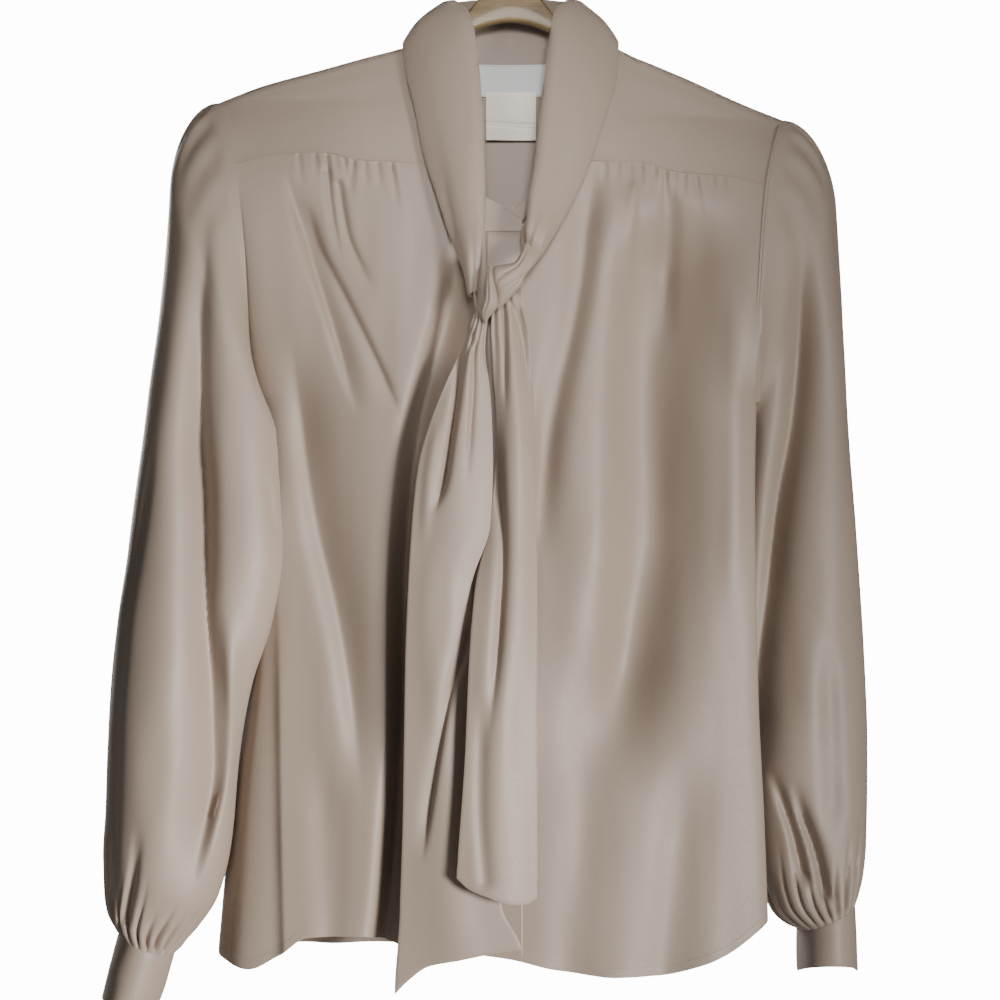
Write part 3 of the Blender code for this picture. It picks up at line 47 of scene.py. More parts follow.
body = {
    "clothThickness": 0.6,
    "sidePower": 2.4,           # how square the body's plan is, 2 is an ellipse
    "ridgeRadius": 8.0,         # the shoulder's roll over the hanger
    "ridgeSquare": 8.0,
    "ridgeSquareDrop": 14.0,
    "neckHalf": 66.0,
    "neckFrontZ": -261.0,
    "neckRisePower": 1.72,
    "neckBackDrop": 9.0,
    "neckBackBulge": 22.0,
    "frontMiddleX": -4.0,
    "armholeHalfDepth": 28.0,
    "underarmZ": -388.0,
    "sideFront": 42.0,          # how far the sides reach to the front and to the back
    "sideBack": 38.0,
    "slowSteps": (-110.0, -75.0, -40.0, 0.0, 40.0, 75.0, 110.0),
    "backYokeStep": 6 / 28,     # share of the way round the armhole where the back yoke seam meets it
    "ridge": table("x z",
                   (-220, -162), (-187.5, -149.5), (-144, -137.5), (-94, -124), (-66, -118),
                   (66, -117), (98, -129), (133, -143.5), (176, -163), (206, -175)),
    "edgeRight": table("z x y",
                       (-162, -220, 0), (-186, -211, 1), (-219, -205, 2), (-260, -200, 5),
                       (-320, -196, 9), (-388, -194, 12), (-500, -193, 12), (-600, -200, 12),
                       (-700, -212, 10), (-800, -221, 8)),
    "edgeLeft": table("z x y",
                      (-175, 206, 0), (-198, 199, -1), (-227, 193, -2), (-277, 188, -6),
                      (-336, 185, -10), (-388, 185, -13), (-450, 184, -14), (-540, 185, -14),
                      (-620, 187, -14), (-700, 191, -13), (-800, 195, -11)),
    "depth": table("drop front back",
                   (8, 8, 8), (30, 14, 13), (60, 21, 18), (100, 28, 23),
                   (150, 33, 27), (250, 38, 31), (400, 40, 34), (720, 42, 38)),
    "yokeSeam": table("x z",
                      (-206, -211), (-178, -204), (-141, -202), (-112, -208), (-81, -210), (-37, -216),
                      (37, -208), (64, -209), (96, -210), (126, -217), (163, -220), (191, -227)),
    "hemFront": table("x z",
                      (-221, -805), (-196, -812), (-172, -801), (-150, -787), (-110, -786), (-81, -794),
                      (-40, -797), (0, -802), (37, -811), (81, -816), (110, -816), (141, -809),
                      (163, -800), (178, -790), (195, -777)),
    "hemBack": table("x z", (-221, -805), (-150, -801), (0, -803), (150, -799), (195, -777)),
}


# Smooth reading of tables

def smooth(xs, ys, at):
    # a curve through the points that never swings past them
    xs, ys = np.asarray(xs, float), np.asarray(ys, float)
    if xs[0] > xs[-1]:
        xs, ys = xs[::-1], ys[::-1]
    at = np.clip(np.asarray(at, float), xs[0], xs[-1])
    step = np.diff(xs)
    slope = np.diff(ys) / step
    tangent = np.zeros(len(xs))
    tangent[0], tangent[-1] = slope[0], slope[-1]
    if len(xs) > 2:
        sameWay = slope[:-1] * slope[1:] > 0
        weightA, weightB = 2 * step[1:] + step[:-1], step[1:] + 2 * step[:-1]
        safeA, safeB = np.where(sameWay, slope[:-1], 1.0), np.where(sameWay, slope[1:], 1.0)
        tangent[1:-1] = np.where(sameWay, (weightA + weightB) / (weightA / safeA + weightB / safeB), 0.0)
    index = np.clip(np.searchsorted(xs, at, side="right") - 1, 0, len(xs) - 2)
    h = step[index]
    t = (at - xs[index]) / h
    return (ys[index] * (1 + 2 * t) * (1 - t) ** 2 + h * tangent[index] * t * (1 - t) ** 2
            + ys[index + 1] * t * t * (3 - 2 * t) + h * tangent[index + 1] * t * t * (t - 1))


def read(rows, column, by, at):
    return smooth(rows[by], rows[column], at)


def ease(t):
    t = np.clip(t, 0.0, 1.0)
    return t * t * (3 - 2 * t)


def softNoise(u, v, seed):
    # smooth random hills from -1 to 1, one for each unit of u and v
    lattice = np.random.default_rng(seed).uniform(-1, 1, (64, 64))
    u, v = np.broadcast_arrays(np.asarray(u, float), np.asarray(v, float))
    iu, iv = np.floor(u).astype(int), np.floor(v).astype(int)
    fu, fv = ease(u - iu), ease(v - iv)
    iu, iv, nextU, nextV = iu % 64, iv % 64, (iu + 1) % 64, (iv + 1) % 64
    low = lattice[iu, iv] * (1 - fu) + lattice[nextU, iv] * fu
    high = lattice[iu, nextV] * (1 - fu) + lattice[nextU, nextV] * fu
    return low * (1 - fv) + high * fv


def hang(x, z, amount, seed):
    # the slow unevenness of hanging cloth: long soft waves that run down
    lean = 18 * softNoise(x / 90, z / 260, seed)
    broad = softNoise((x + lean) / 34, z / 210, seed + 1)
    fine = softNoise((x + lean) / 13, z / 90, seed + 2)
    return amount * (broad + 0.35 * fine)


def foldDepth(folds, x, z):
    # how far the folds push the cloth in at (x, z); a negative depth stands it out
    total = np.zeros(np.broadcast(x, z).shape)
    for number, fold in enumerate(folds):
        path = np.array(fold["path"], float)
        off = x - smooth(path[:, 1], path[:, 0], z)
        width = np.where(off < 0, fold["left"], fold["right"])
        vary = 1 + 0.16 * softNoise(0.5 + number, z / 55, 40 + number)
        fadeTop, fadeBottom = fold["fade"]
        reach = ease((path[0, 1] + 4 - z) / fadeTop) * ease((z - path[-1, 1] + 4) / fadeBottom)
        shape = np.exp(-(np.abs(off) / width) ** fold.get("power", 2))
        total = total + fold["depth"] * vary * shape * reach
    return total


# The body's form

def ridgeZ(x):
    return read(body["ridge"], "z", "x", x)


def edgeOf(side):
    return body["edgeRight"] if side < 0 else body["edgeLeft"]


def armholeSpan(side):
    tip = edgeOf(side)["z"][0]
    return (tip + body["underarmZ"]) / 2, (tip - body["underarmZ"]) / 2


def armholeHalf(turn):
    power = 1 + 0.5 * ease((turn - math.pi / 2) / (math.pi / 2))
    return body["armholeHalfDepth"] * np.clip(np.sin(turn), 0.0, 1.0) ** power


def edgeXy(side, z, face):
    # outer edge of the front (face -1) or the back (face 1): the armhole, then the side seam
    rows = edgeOf(side)
    middle, half = armholeSpan(side)
    turn = np.arccos(np.clip((z - middle) / half, -1.0, 1.0))
    return read(rows, "x", "z", z), read(rows, "y", "z", z) + face * armholeHalf(turn)


def bodyY(x, z, side, face):
    # y of the body's surface without its folds
    drop = np.clip(ridgeZ(x) - z, 0.0, None)
    rolled = np.sqrt(np.clip(2 * body["ridgeRadius"] * drop - drop ** 2, 0.0, None))
    hung = read(body["depth"], "front" if face < 0 else "back", "drop", drop)
    depth = np.where(drop < body["ridgeRadius"], rolled, hung)
    if face > 0:
        near = np.clip(1 - (x / body["neckHalf"]) ** 2, 0.0, 1.0)
        depth = depth + body["neckBackBulge"] * near * np.exp(-drop / 45.0)
    edgeX, edgeY = edgeXy(side, z, face)
    across = np.clip(np.abs(x / edgeX), 0.0, 1.0)
    # away from its edge the panel only follows the armhole's slow run, or a step shows at the underarm
    slow = np.mean([edgeXy(side, z + step, face)[1] for step in body["slowSteps"]], axis=0)
    away = (1 - ease((across - 0.7) / 0.28)) * ease((drop - 60.0) / 60.0)
    edgeY = edgeY + (slow - edgeY) * away
    power = body["sidePower"] + body["ridgeSquare"] * np.exp(-(drop / body["ridgeSquareDrop"]) ** 2)
    return edgeY + (face * depth - edgeY) * (1 - across ** power) ** (1 / power)


def backY(x, z):
    return np.where(x < 0, bodyY(x, z, -1, 1), bodyY(x, z, 1, 1))


def bodySideX(side, y, z, room):
    rows = edgeOf(side)
    x, middle = read(rows, "x", "z", z), read(rows, "y", "z", z)
    depth = room + np.where(y < middle, middle + body["sideFront"], body["sideBack"] - middle)
    across = np.clip(np.abs(y - middle) / depth, 0.0, 1.0)
    return (np.abs(x) + room) * (1 - across ** body["sidePower"]) ** (1 / body["sidePower"])


def neckTopZ():
    return ridgeZ(body["neckHalf"])


def necklineX(z):
    rise = np.clip((z - body["neckFrontZ"]) / (neckTopZ() - body["neckFrontZ"]), 0.0, 1.0)
    return body["neckHalf"] * rise ** (1 / body["neckRisePower"])


def necklineZ(x):
    rise = np.abs(x / body["neckHalf"]) ** body["neckRisePower"]
    return body["neckFrontZ"] + (neckTopZ() - body["neckFrontZ"]) * rise


def backLevel(x, share):
    # level across the back that meets the same share of both armholes
    levels = []
    for side in (-1, 1):
        middle, half = armholeSpan(side)
        levels.append(middle + half * np.cos(share * 2 * math.pi))
    right, left = body["edgeRight"]["x"][0], body["edgeLeft"]["x"][0]
    return levels[0] + (levels[1] - levels[0]) * (x - right) / (left - right)


# Making meshes

def surfaceNormals(points, outward, ring=False):
    if ring:
        around = np.concatenate([points[:, -1:], points, points[:, :1]], axis=1)
        across = (around[:, 2:] - around[:, :-2]) / 2
    else:
        across = np.gradient(points, axis=1)
    normal = np.cross(across, np.gradient(points, axis=0))
    normal /= np.maximum(np.linalg.norm(normal, axis=2, keepdims=True), 1e-9)
    facing = np.sum(normal * outward, axis=2, keepdims=True)
    return normal * np.where(facing < 0, -1.0, 1.0)


def arcLengths(points, ring=False):
    # distance across and down the cloth, in metres, for its weave
    closed = np.concatenate([points, points[:, :1]], axis=1) if ring else points
    across = np.cumsum(np.linalg.norm(np.diff(closed, axis=1, prepend=closed[:, :1]), axis=2), axis=1)
    down = np.cumsum(np.linalg.norm(np.diff(closed, axis=0, prepend=closed[:1]), axis=2), axis=0)
    across = across - across.mean(axis=1, keepdims=True)
    return np.stack([across, down], axis=2) / 1000.0


def meshObject(name, verts, faces, uvs, material, sharp=50):
    mesh = bpy.data.meshes.new(name)
    mesh.from_pydata((np.asarray(verts, float) / 1000.0).tolist(), [], [list(f) for f in faces])
    if uvs is not None:
        layer = mesh.uv_layers.new(name="cloth")
        layer.data.foreach_set("uv", np.asarray(uvs, np.float32).ravel())
    mesh.materials.append(material)
    mesh.update()
    mesh.shade_smooth()
    mesh.set_sharp_from_angle(angle=math.radians(sharp))
    obj = bpy.data.objects.new(name, mesh)
    bpy.context.scene.collection.objects.link(obj)
    return obj


def shell(name, outer, inner, material, ring=False, cells=None):
    # a thin closed sheet between two grids of points; cells says which cells of the grid exist
    rows, cols = outer.shape[:2]
    wide = cols if ring else cols - 1
    r, c = np.mgrid[0:rows - 1, 0:wide]
    if cells is not None:
        r, c = r[cells], c[cells]
    r, c = r.ravel(), c.ravel()
    corners = [(r, c), (r + 1, c), (r + 1, c + 1), (r, c + 1)]
    quads = np.stack([a * cols + b % cols for a, b in corners], axis=1)
    arcs = arcLengths(outer, ring)
    quadArcs = np.stack([arcs[a, b] for a, b in corners], axis=1)
    count = rows * cols
    start, end = quads.ravel(), np.roll(quads, -1, axis=1).ravel()
    border = ~np.isin(end * count + start, start * count + end)
    a, b = start[border], end[border]
    rim = np.stack([b, a, a + count, b + count], axis=1)
    flat = arcs[:, :cols].reshape(-1, 2)
    rimArcs = np.stack([flat[b], flat[a], flat[a], flat[b]], axis=1)
    faces = np.concatenate([quads, quads[:, ::-1] + count, rim])
    uvs = np.concatenate([quadArcs, quadArcs[:, ::-1], rimArcs])
    points = np.concatenate([outer.reshape(-1, 3), inner.reshape(-1, 3)])
    used, faces = np.unique(faces, return_inverse=True)
    faces = faces.reshape(-1, 4)
    points = points[used]
    p = points[faces]
    volume = np.einsum("ij,ij->i", p[:, 0], np.cross(p[:, 1], p[:, 2])).sum() + np.einsum(
        "ij,ij->i", p[:, 0], np.cross(p[:, 2], p[:, 3])).sum()
    if volume < 0:
        faces, uvs = faces[:, ::-1], uvs[:, ::-1]
    return meshObject(name, points, faces.tolist(), uvs, material)


def rimmed(count, width):
    # how thick a doubled edge is across a piece: full inside, rounded off towards both sides
    at = np.minimum(np.arange(count), np.arange(count)[::-1]) / width
    return 0.35 + 0.65 * np.sqrt(1 - (1 - np.clip(at, 0.0, 1.0)) ** 2)


def clothPiece(obj, nodes):
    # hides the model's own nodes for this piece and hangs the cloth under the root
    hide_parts(*nodes)
    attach(obj, "root")


def lathe(profile, centre, axis, segments):
    # a turned shape: profile is (radius, height) along the axis, closed at both ends
    axis = np.array(axis, float) / np.linalg.norm(axis)
    aside = np.cross(axis, [0.3, 0.2, 1.0])
    aside /= np.linalg.norm(aside)
    other = np.cross(axis, aside)
    verts, rings, faces = [], [], []
    for radius, height in profile:
        turns = [0.0] if radius == 0 else np.arange(segments) * 2 * math.pi / segments
        rings.append(np.arange(len(verts), len(verts) + len(turns)))
        for a in turns:
            outwards = aside * math.cos(a) + other * math.sin(a)
            verts.append(np.array(centre) + axis * height + radius * outwards)
    for low, high in zip(rings, rings[1:]):
        for k in range(segments):
            n = (k + 1) % segments
            quad = [low[k % len(low)], low[n % len(low)], high[n % len(high)], high[k % len(high)]]
            faces.append(list(dict.fromkeys(int(q) for q in quad)))
    return verts, faces


print("form and tables are ready")


# Shared shader groups

def newGroup(name, inputs, outputs):
    group = bpy.data.node_groups.new(name, "ShaderNodeTree")
    for label, kind, value in inputs:
        socket = group.interface.new_socket(name=label, in_out="INPUT", socket_type=kind)
        if value is not None:
            socket.default_value = value
    for label, kind in outputs:
        group.interface.new_socket(name=label, in_out="OUTPUT", socket_type=kind)
    return group, group.nodes.new("NodeGroupInput"), group.nodes.new("NodeGroupOutput")


def mathNode(tree, operation, a, b=None):
    node = tree.nodes.new("ShaderNodeMath")
    node.operation = operation
    for socket, value in zip(node.inputs, (a, b)):
        if value is None:
            continue
        if isinstance(value, (int, float)):
            socket.default_value = value
        else:
            tree.links.new(value, socket)
    return node.outputs[0]


def noiseNode(tree, vector, scale, detail=2.0, roughness=0.5):
    node = tree.nodes.new("ShaderNodeTexNoise")
    node.inputs["Detail"].default_value = detail
    node.inputs["Roughness"].default_value = roughness
    tree.links.new(vector, node.inputs["Vector"])
    if isinstance(scale, (int, float)):
        node.inputs["Scale"].default_value = scale
    else:
        tree.links.new(scale, node.inputs["Scale"])
    return node.outputs[0]


def stretched(tree, vector, scale):
    node = tree.nodes.new("ShaderNodeMapping")
    node.inputs["Scale"].default_value = scale
    tree.links.new(vector, node.inputs["Vector"])
    return node.outputs[0]


def crepeGroup():
    # height of a crepe: fine uneven pebbles crossed by faint threads, in cloth metres
    group, given, out = newGroup(
        "crepe", [("Pebbles", "NodeSocketFloat", 1500.0), ("Threads", "NodeSocketFloat", 900.0)],
        [("Height", "NodeSocketFloat")])
    cloth = group.nodes.new("ShaderNodeTexCoord").outputs["UV"]
    pebbles = noiseNode(group, cloth, given.outputs["Pebbles"], 3.0, 0.65)
    warp = noiseNode(group, stretched(group, cloth, (1.0, 0.12, 1.0)), given.outputs["Threads"], 1.0)
    weft = noiseNode(group, stretched(group, cloth, (0.12, 1.0, 1.0)), given.outputs["Threads"], 1.0)
    threads = mathNode(group, "ADD", warp, weft)
    height = mathNode(group, "ADD", mathNode(group, "MULTIPLY", pebbles, 0.55),
                      mathNode(group, "MULTIPLY", threads, 0.22))
    group.links.new(height, out.inputs["Height"])
    return group


def unevenGroup():
    # a mask from 0 to 1 of slow unevenness over the object, for tone and shine
    group, given, out = newGroup(
        "uneven", [("Scale", "NodeSocketFloat", 9.0), ("Fine Scale", "NodeSocketFloat", 140.0)],
        [("Slow", "NodeSocketFloat"), ("Fine", "NodeSocketFloat")])
    place = group.nodes.new("ShaderNodeTexCoord").outputs["Object"]
    slow = noiseNode(group, stretched(group, place, (1.0, 1.0, 0.35)), given.outputs["Scale"], 2.0)
    fine = noiseNode(group, place, given.outputs["Fine Scale"], 4.0, 0.6)
    group.links.new(slow, out.inputs["Slow"])
    group.links.new(fine, out.inputs["Fine"])
    return group


crepe, uneven = crepeGroup(), unevenGroup()


def newMaterial(name):
    material = bpy.data.materials.new(name)
    material.use_nodes = True
    tree = material.node_tree
    return material, tree, tree.nodes["Principled BSDF"]


def useGroup(tree, group, **values):
    node = tree.nodes.new("ShaderNodeGroup")
    node.node_tree = group
    for label, value in values.items():
        node.inputs[label.replace("_", " ")].default_value = value
    return node


def mixColour(tree, factor, dark, light):
    node = tree.nodes.new("ShaderNodeMix")
    node.data_type = "RGBA"
    node.inputs["A"].default_value = (*dark, 1.0)
    node.inputs["B"].default_value = (*light, 1.0)
    tree.links.new(factor, node.inputs["Factor"])
    return node.outputs["Result"]


def spreadOut(tree, value, low, high, toLow, toHigh):
    node = tree.nodes.new("ShaderNodeMapRange")
    for label, number in zip(("From Min", "From Max", "To Min", "To Max"), (low, high, toLow, toHigh)):
        node.inputs[label].default_value = number
    tree.links.new(value, node.inputs["Value"])
    return node.outputs["Result"]


def addBump(tree, shader, height, strength, distance):
    node = tree.nodes.new("ShaderNodeBump")
    node.inputs["Strength"].default_value = strength
    node.inputs["Distance"].default_value = distance
    tree.links.new(height, node.inputs["Height"])
    tree.links.new(node.outputs["Normal"], shader.inputs["Normal"])


clothFinish = {
    "dark": (0.300, 0.228, 0.175),
    "light": (0.365, 0.284, 0.222),
    "roughness": (0.46, 0.56),
    "sheen": 0.28,
    "sheenTint": (0.95, 0.85, 0.78),
}


def crepeMaterial(name, finish, pebbles=1500.0, bump=0.22):
    material, tree, shader = newMaterial(name)
    tone = useGroup(tree, uneven, Scale=9.0, Fine_Scale=420.0)
    weave = useGroup(tree, crepe, Pebbles=pebbles)
    tones = mathNode(tree, "ADD", mathNode(tree, "MULTIPLY", tone.outputs["Slow"], 0.7),
                     mathNode(tree, "MULTIPLY", weave.outputs["Height"], 0.35))
    factor = spreadOut(tree, tones, 0.35, 0.75, 0.0, 1.0)
    tree.links.new(mixColour(tree, factor, finish["dark"], finish["light"]), shader.inputs["Base Color"])
    rough = spreadOut(tree, tone.outputs["Fine"], 0.3, 0.7, *finish["roughness"])
    tree.links.new(rough, shader.inputs["Roughness"])
    shader.inputs["Sheen Weight"].default_value = finish["sheen"]
    shader.inputs["Sheen Roughness"].default_value = 0.45
    shader.inputs["Sheen Tint"].default_value = (*finish["sheenTint"], 1.0)
    shader.inputs["Specular IOR Level"].default_value = 0.42
    addBump(tree, shader, weave.outputs["Height"], bump, 0.0006)
    return material


cloth = crepeMaterial("silkyCrepe", clothFinish)


def threadMaterial():
    material, tree, shader = newMaterial("sewingThread")
    tone = useGroup(tree, uneven, Scale=60.0, Fine_Scale=2500.0)
    colour = mixColour(tree, tone.outputs["Fine"], (0.30, 0.235, 0.20), (0.44, 0.36, 0.31))
    tree.links.new(colour, shader.inputs["Base Color"])
    shader.inputs["Roughness"].default_value = 0.55
    addBump(tree, shader, tone.outputs["Fine"], 0.4, 0.0002)
    return material


thread = threadMaterial()


# Stitches follow any line of points

stitching = {"length": 2.3, "thickness": 0.34, "jitter": 0.10, "seed": 7}


def stitchTree(name, material):
    tree = bpy.data.node_groups.new(name, "GeometryNodeTree")
    face = tree.interface
    face.new_socket(name="Line", in_out="INPUT", socket_type="NodeSocketGeometry")
    for label, value in (("Stitch Length", stitching["length"] / 1000),
                         ("Thickness", stitching["thickness"] / 1000), ("Jitter", stitching["jitter"])):
        face.new_socket(name=label, in_out="INPUT", socket_type="NodeSocketFloat").default_value = value
    seed = face.new_socket(name="Seed", in_out="INPUT", socket_type="NodeSocketInt")
    seed.default_value = stitching["seed"]
    face.new_socket(name="Stitches", in_out="OUTPUT", socket_type="NodeSocketGeometry")
    add, link = tree.nodes.new, tree.links.new
    given, out = add("NodeGroupInput"), add("NodeGroupOutput")
    line = add("GeometryNodeMeshToCurve")
    link(given.outputs["Line"], line.inputs[0])
    points = add("GeometryNodeCurveToPoints")
    points.mode = "LENGTH"
    link(line.outputs[0], points.inputs["Curve"])
    link(given.outputs["Stitch Length"], points.inputs["Length"])
    ball = add("GeometryNodeMeshUVSphere")
    ball.inputs["Segments"].default_value = 6
    ball.inputs["Rings"].default_value = 4
    ball.inputs["Radius"].default_value = 0.5
    size = add("ShaderNodeCombineXYZ")
    long = mathNode(tree, "MULTIPLY", given.outputs["Stitch Length"], 0.8)
    link(long, size.inputs["X"])
    link(given.outputs["Thickness"], size.inputs["Y"])
    link(given.outputs["Thickness"], size.inputs["Z"])
    shaped = add("GeometryNodeTransform")
    link(ball.outputs[0], shaped.inputs["Geometry"])
    link(size.outputs[0], shaped.inputs["Scale"])
    turn = add("FunctionNodeAlignRotationToVector")
    turn.axis = "X"
    link(points.outputs["Tangent"], turn.inputs["Vector"])
    vary = add("FunctionNodeRandomValue")
    vary.data_type = "FLOAT"
    link(mathNode(tree, "SUBTRACT", 1.0, given.outputs["Jitter"]), vary.inputs[2])
    link(mathNode(tree, "ADD", 1.0, given.outputs["Jitter"]), vary.inputs[3])
    link(given.outputs["Seed"], vary.inputs["Seed"])
    place = add("GeometryNodeInstanceOnPoints")
    link(points.outputs["Points"], place.inputs["Points"])
    link(shaped.outputs[0], place.inputs["Instance"])
    link(turn.outputs[0], place.inputs["Rotation"])
    link(vary.outputs[1], place.inputs["Scale"])
    real = add("GeometryNodeRealizeInstances")
    link(place.outputs[0], real.inputs[0])
    paint = add("GeometryNodeSetMaterial")
    paint.inputs["Material"].default_value = material
    link(real.outputs[0], paint.inputs["Geometry"])
    link(paint.outputs[0], out.inputs["Stitches"])
    return tree


def sewLines(name, lines, tree, length=stitching["length"], thickness=stitching["thickness"]):
    # one piece with a row of stitches along each line of points
    verts, edges = [], []
    for points in lines:
        edges += [(len(verts) + k, len(verts) + k + 1) for k in range(len(points) - 1)]
        verts += [tuple(np.asarray(p) / 1000.0) for p in points]
    mesh = bpy.data.meshes.new(name + "Line")
    mesh.from_pydata(verts, edges, [])
    obj = bpy.data.objects.new(name + "Line", mesh)
    bpy.context.scene.collection.objects.link(obj)
    modifier = obj.modifiers.new("stitches", "NODES")
    modifier.node_group = tree
    sockets = {item.name: item.identifier for item in tree.interface.items_tree}
    modifier[sockets["Stitch Length"]] = length / 1000
    modifier[sockets["Thickness"]] = thickness / 1000
    modifier[sockets["Jitter"]] = stitching["jitter"]
    modifier[sockets["Seed"]] = stitching["seed"]
    evaluated = obj.evaluated_get(bpy.context.evaluated_depsgraph_get())
    made = bpy.data.meshes.new_from_object(evaluated)
    made.name = name
    bpy.data.objects.remove(obj)
    bpy.data.meshes.remove(mesh)
    piece = bpy.data.objects.new(name, made)
    bpy.context.scene.collection.objects.link(piece)
    made.shade_smooth()
    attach(piece, "root")
    return piece


clothStitches = stitchTree("clothStitches", thread)
print("materials and stitches are ready")


# Yoke: both shoulders and the top of the back, one piece

yoke = {
    "shoulderCells": 60,
    "neckCells": 40,
    "frontRows": 30,
    "backRows": 30,
    "rolledDrops": (0.0, 0.25, 0.7, 1.4, 2.5, 4.0, 6.0, 8.0),
    "seamLift": 0.5,            # the yoke's sewn edge stands this much over the gathers
    "unevenness": 0.5,
}


def frontSeamZ(x):
    return read(body["yokeSeam"], "z", "x", x)


def shoulderPoints(side, t, drop, share, face):
    innerX, outerX = side * body["neckHalf"], edgeOf(side)["x"][0]
    x = innerX + (outerX - innerX) * t
    last = yoke["rolledDrops"][-1]
    for _ in range(6):
        if share is None:
            z = ridgeZ(x) - drop
        else:
            low = frontSeamZ(x) if face < 0 else backLevel(x, body["backYokeStep"])
            z = ridgeZ(x) - last + (low - ridgeZ(x) + last) * share
        innerX = side * (necklineX(z) if face < 0 else body["neckHalf"])
        outerX = edgeXy(side, z, face)[0]
        x = innerX + (outerX - innerX) * t
    return np.stack([x, bodyY(x, z, side, face), z], axis=1)


def neckPoints(t, drop, share):
    x = t * body["neckHalf"]
    top = neckTopZ() - body["neckBackDrop"] * np.sqrt(np.clip(1 - t * t, 0.0, None))
    last = yoke["rolledDrops"][-1]
    seam = backLevel(x, body["backYokeStep"])
    z = top - drop if share is None else top - last + (seam - top + last) * share
    return np.stack([x, backY(x, z), z], axis=1)


def buildYoke():
    shoulder = np.linspace(0.0, 1.0, yoke["shoulderCells"] + 1)
    neck = np.linspace(-1, 1, yoke["neckCells"] + 1)[1:-1]
    steps = [(0.0, s, -1) for s in np.linspace(1, 0, yoke["frontRows"], endpoint=False)]
    steps += [(d, None, -1) for d in yoke["rolledDrops"][::-1]]
    steps += [(d, None, 1) for d in yoke["rolledDrops"][1:]]
    steps += [(0.0, s, 1) for s in np.linspace(0, 1, yoke["backRows"] + 1)[1:]]
    grid = np.array([np.concatenate([
        shoulderPoints(-1, shoulder[::-1], d, s, f), neckPoints(neck, d, s),
        shoulderPoints(1, shoulder, d, s, f)]) for d, s, f in steps])
    cut = grid.copy()
    face = np.array([f for _, _, f in steps])[:, None]
    x, z = grid[..., 0], grid[..., 2]
    away = ease((ridgeZ(x) - z) / 25.0)
    grid[..., 1] += face * hang(x, z, yoke["unevenness"], 11) * away
    nearSeam = np.exp(-(z - frontSeamZ(x)) / 2.5) * (face < 0)
    grid[..., 1] -= yoke["seamLift"] * np.clip(nearSeam, 0.0, 1.0)
    cells = np.ones((grid.shape[0] - 1, grid.shape[1] - 1), bool)
    ridgeRow = yoke["frontRows"] + len(yoke["rolledDrops"]) - 1
    cells[:ridgeRow, yoke["shoulderCells"]:yoke["shoulderCells"] + yoke["neckCells"]] = False
    outward = np.zeros_like(grid) + np.array([0.0, 0.0, 0.35])
    outward[..., 1] = face
    normal = surfaceNormals(grid, outward)
    obj = shell("yoke_cloth", grid, grid - normal * body["clothThickness"], cloth, cells=cells)
    clothPiece(obj, ["yoke"])


# Fronts, gathered into the yoke

frontRight = {
    "cells": (150, 210),
    "hang": 1.3,
    "seed": 21,
    "folds": (
        dict(path=((-167, -219), (-159, -247), (-148, -283), (-133, -330), (-122, -368), (-112, -400)),
             left=3.2, right=10, depth=6.5, fade=(45, 60), power=1.6),
        dict(path=((-152, -241), (-142, -273), (-126, -304), (-109, -338), (-94, -370), (-80, -402)),
             left=8, right=3, depth=3.6, fade=(30, 40), power=1.6),
        dict(path=((-128, -225), (-121, -264), (-112, -286), (-102, -303)),
             left=5, right=3, depth=3.6, fade=(6, 30), power=1.6),
        dict(path=((-137, -215), (-132, -253), (-126, -280)), left=3, right=2.4, depth=2.8, fade=(6, 30)),
        dict(path=((-163, -330), (-157, -392), (-151, -440), (-143, -486), (-131, -535),
                   (-119, -600), (-112, -650), (-108, -690)),
             left=9, right=20, depth=10.5, fade=(90, 90), power=1.6),
        dict(path=((-36, -255), (-40, -290), (-46, -322), (-56, -360), (-68, -410), (-74, -462),
                   (-79, -536), (-80, -610), (-83, -684), (-88, -743), (-95, -800)),
             left=8, right=22, depth=22, fade=(80, 1), power=1.8),
        dict(path=((-176, -480), (-172, -560), (-170, -680), (-167, -810)),
             left=4, right=40, depth=-4.5, fade=(160, 1), power=1.5),
        dict(path=((-140, -640), (-134, -720), (-132, -790)), left=12, right=14, depth=3.5, fade=(60, 1)),
        dict(path=((-180, -430), (-184, -560), (-192, -680), (-200, -810)),
             left=13, right=26, depth=-7, fade=(60, 1)),
    ),
    "gathers": table("x end length depth",
                     (-158, -155, 30, 2.4), (-146, -143, 26, 2.6), (-137, -130, 62, 3.4),
                     (-130, -128, 16, 1.6), (-124, -119, 30, 2.8), (-117, -119, 34, 3.4),
                     (-108, -107, 22, 2.4), (-103, -101, 14, 1.5), (-99, -96, 24, 2.8),
                     (-89, -82, 44, 3.4)),
}
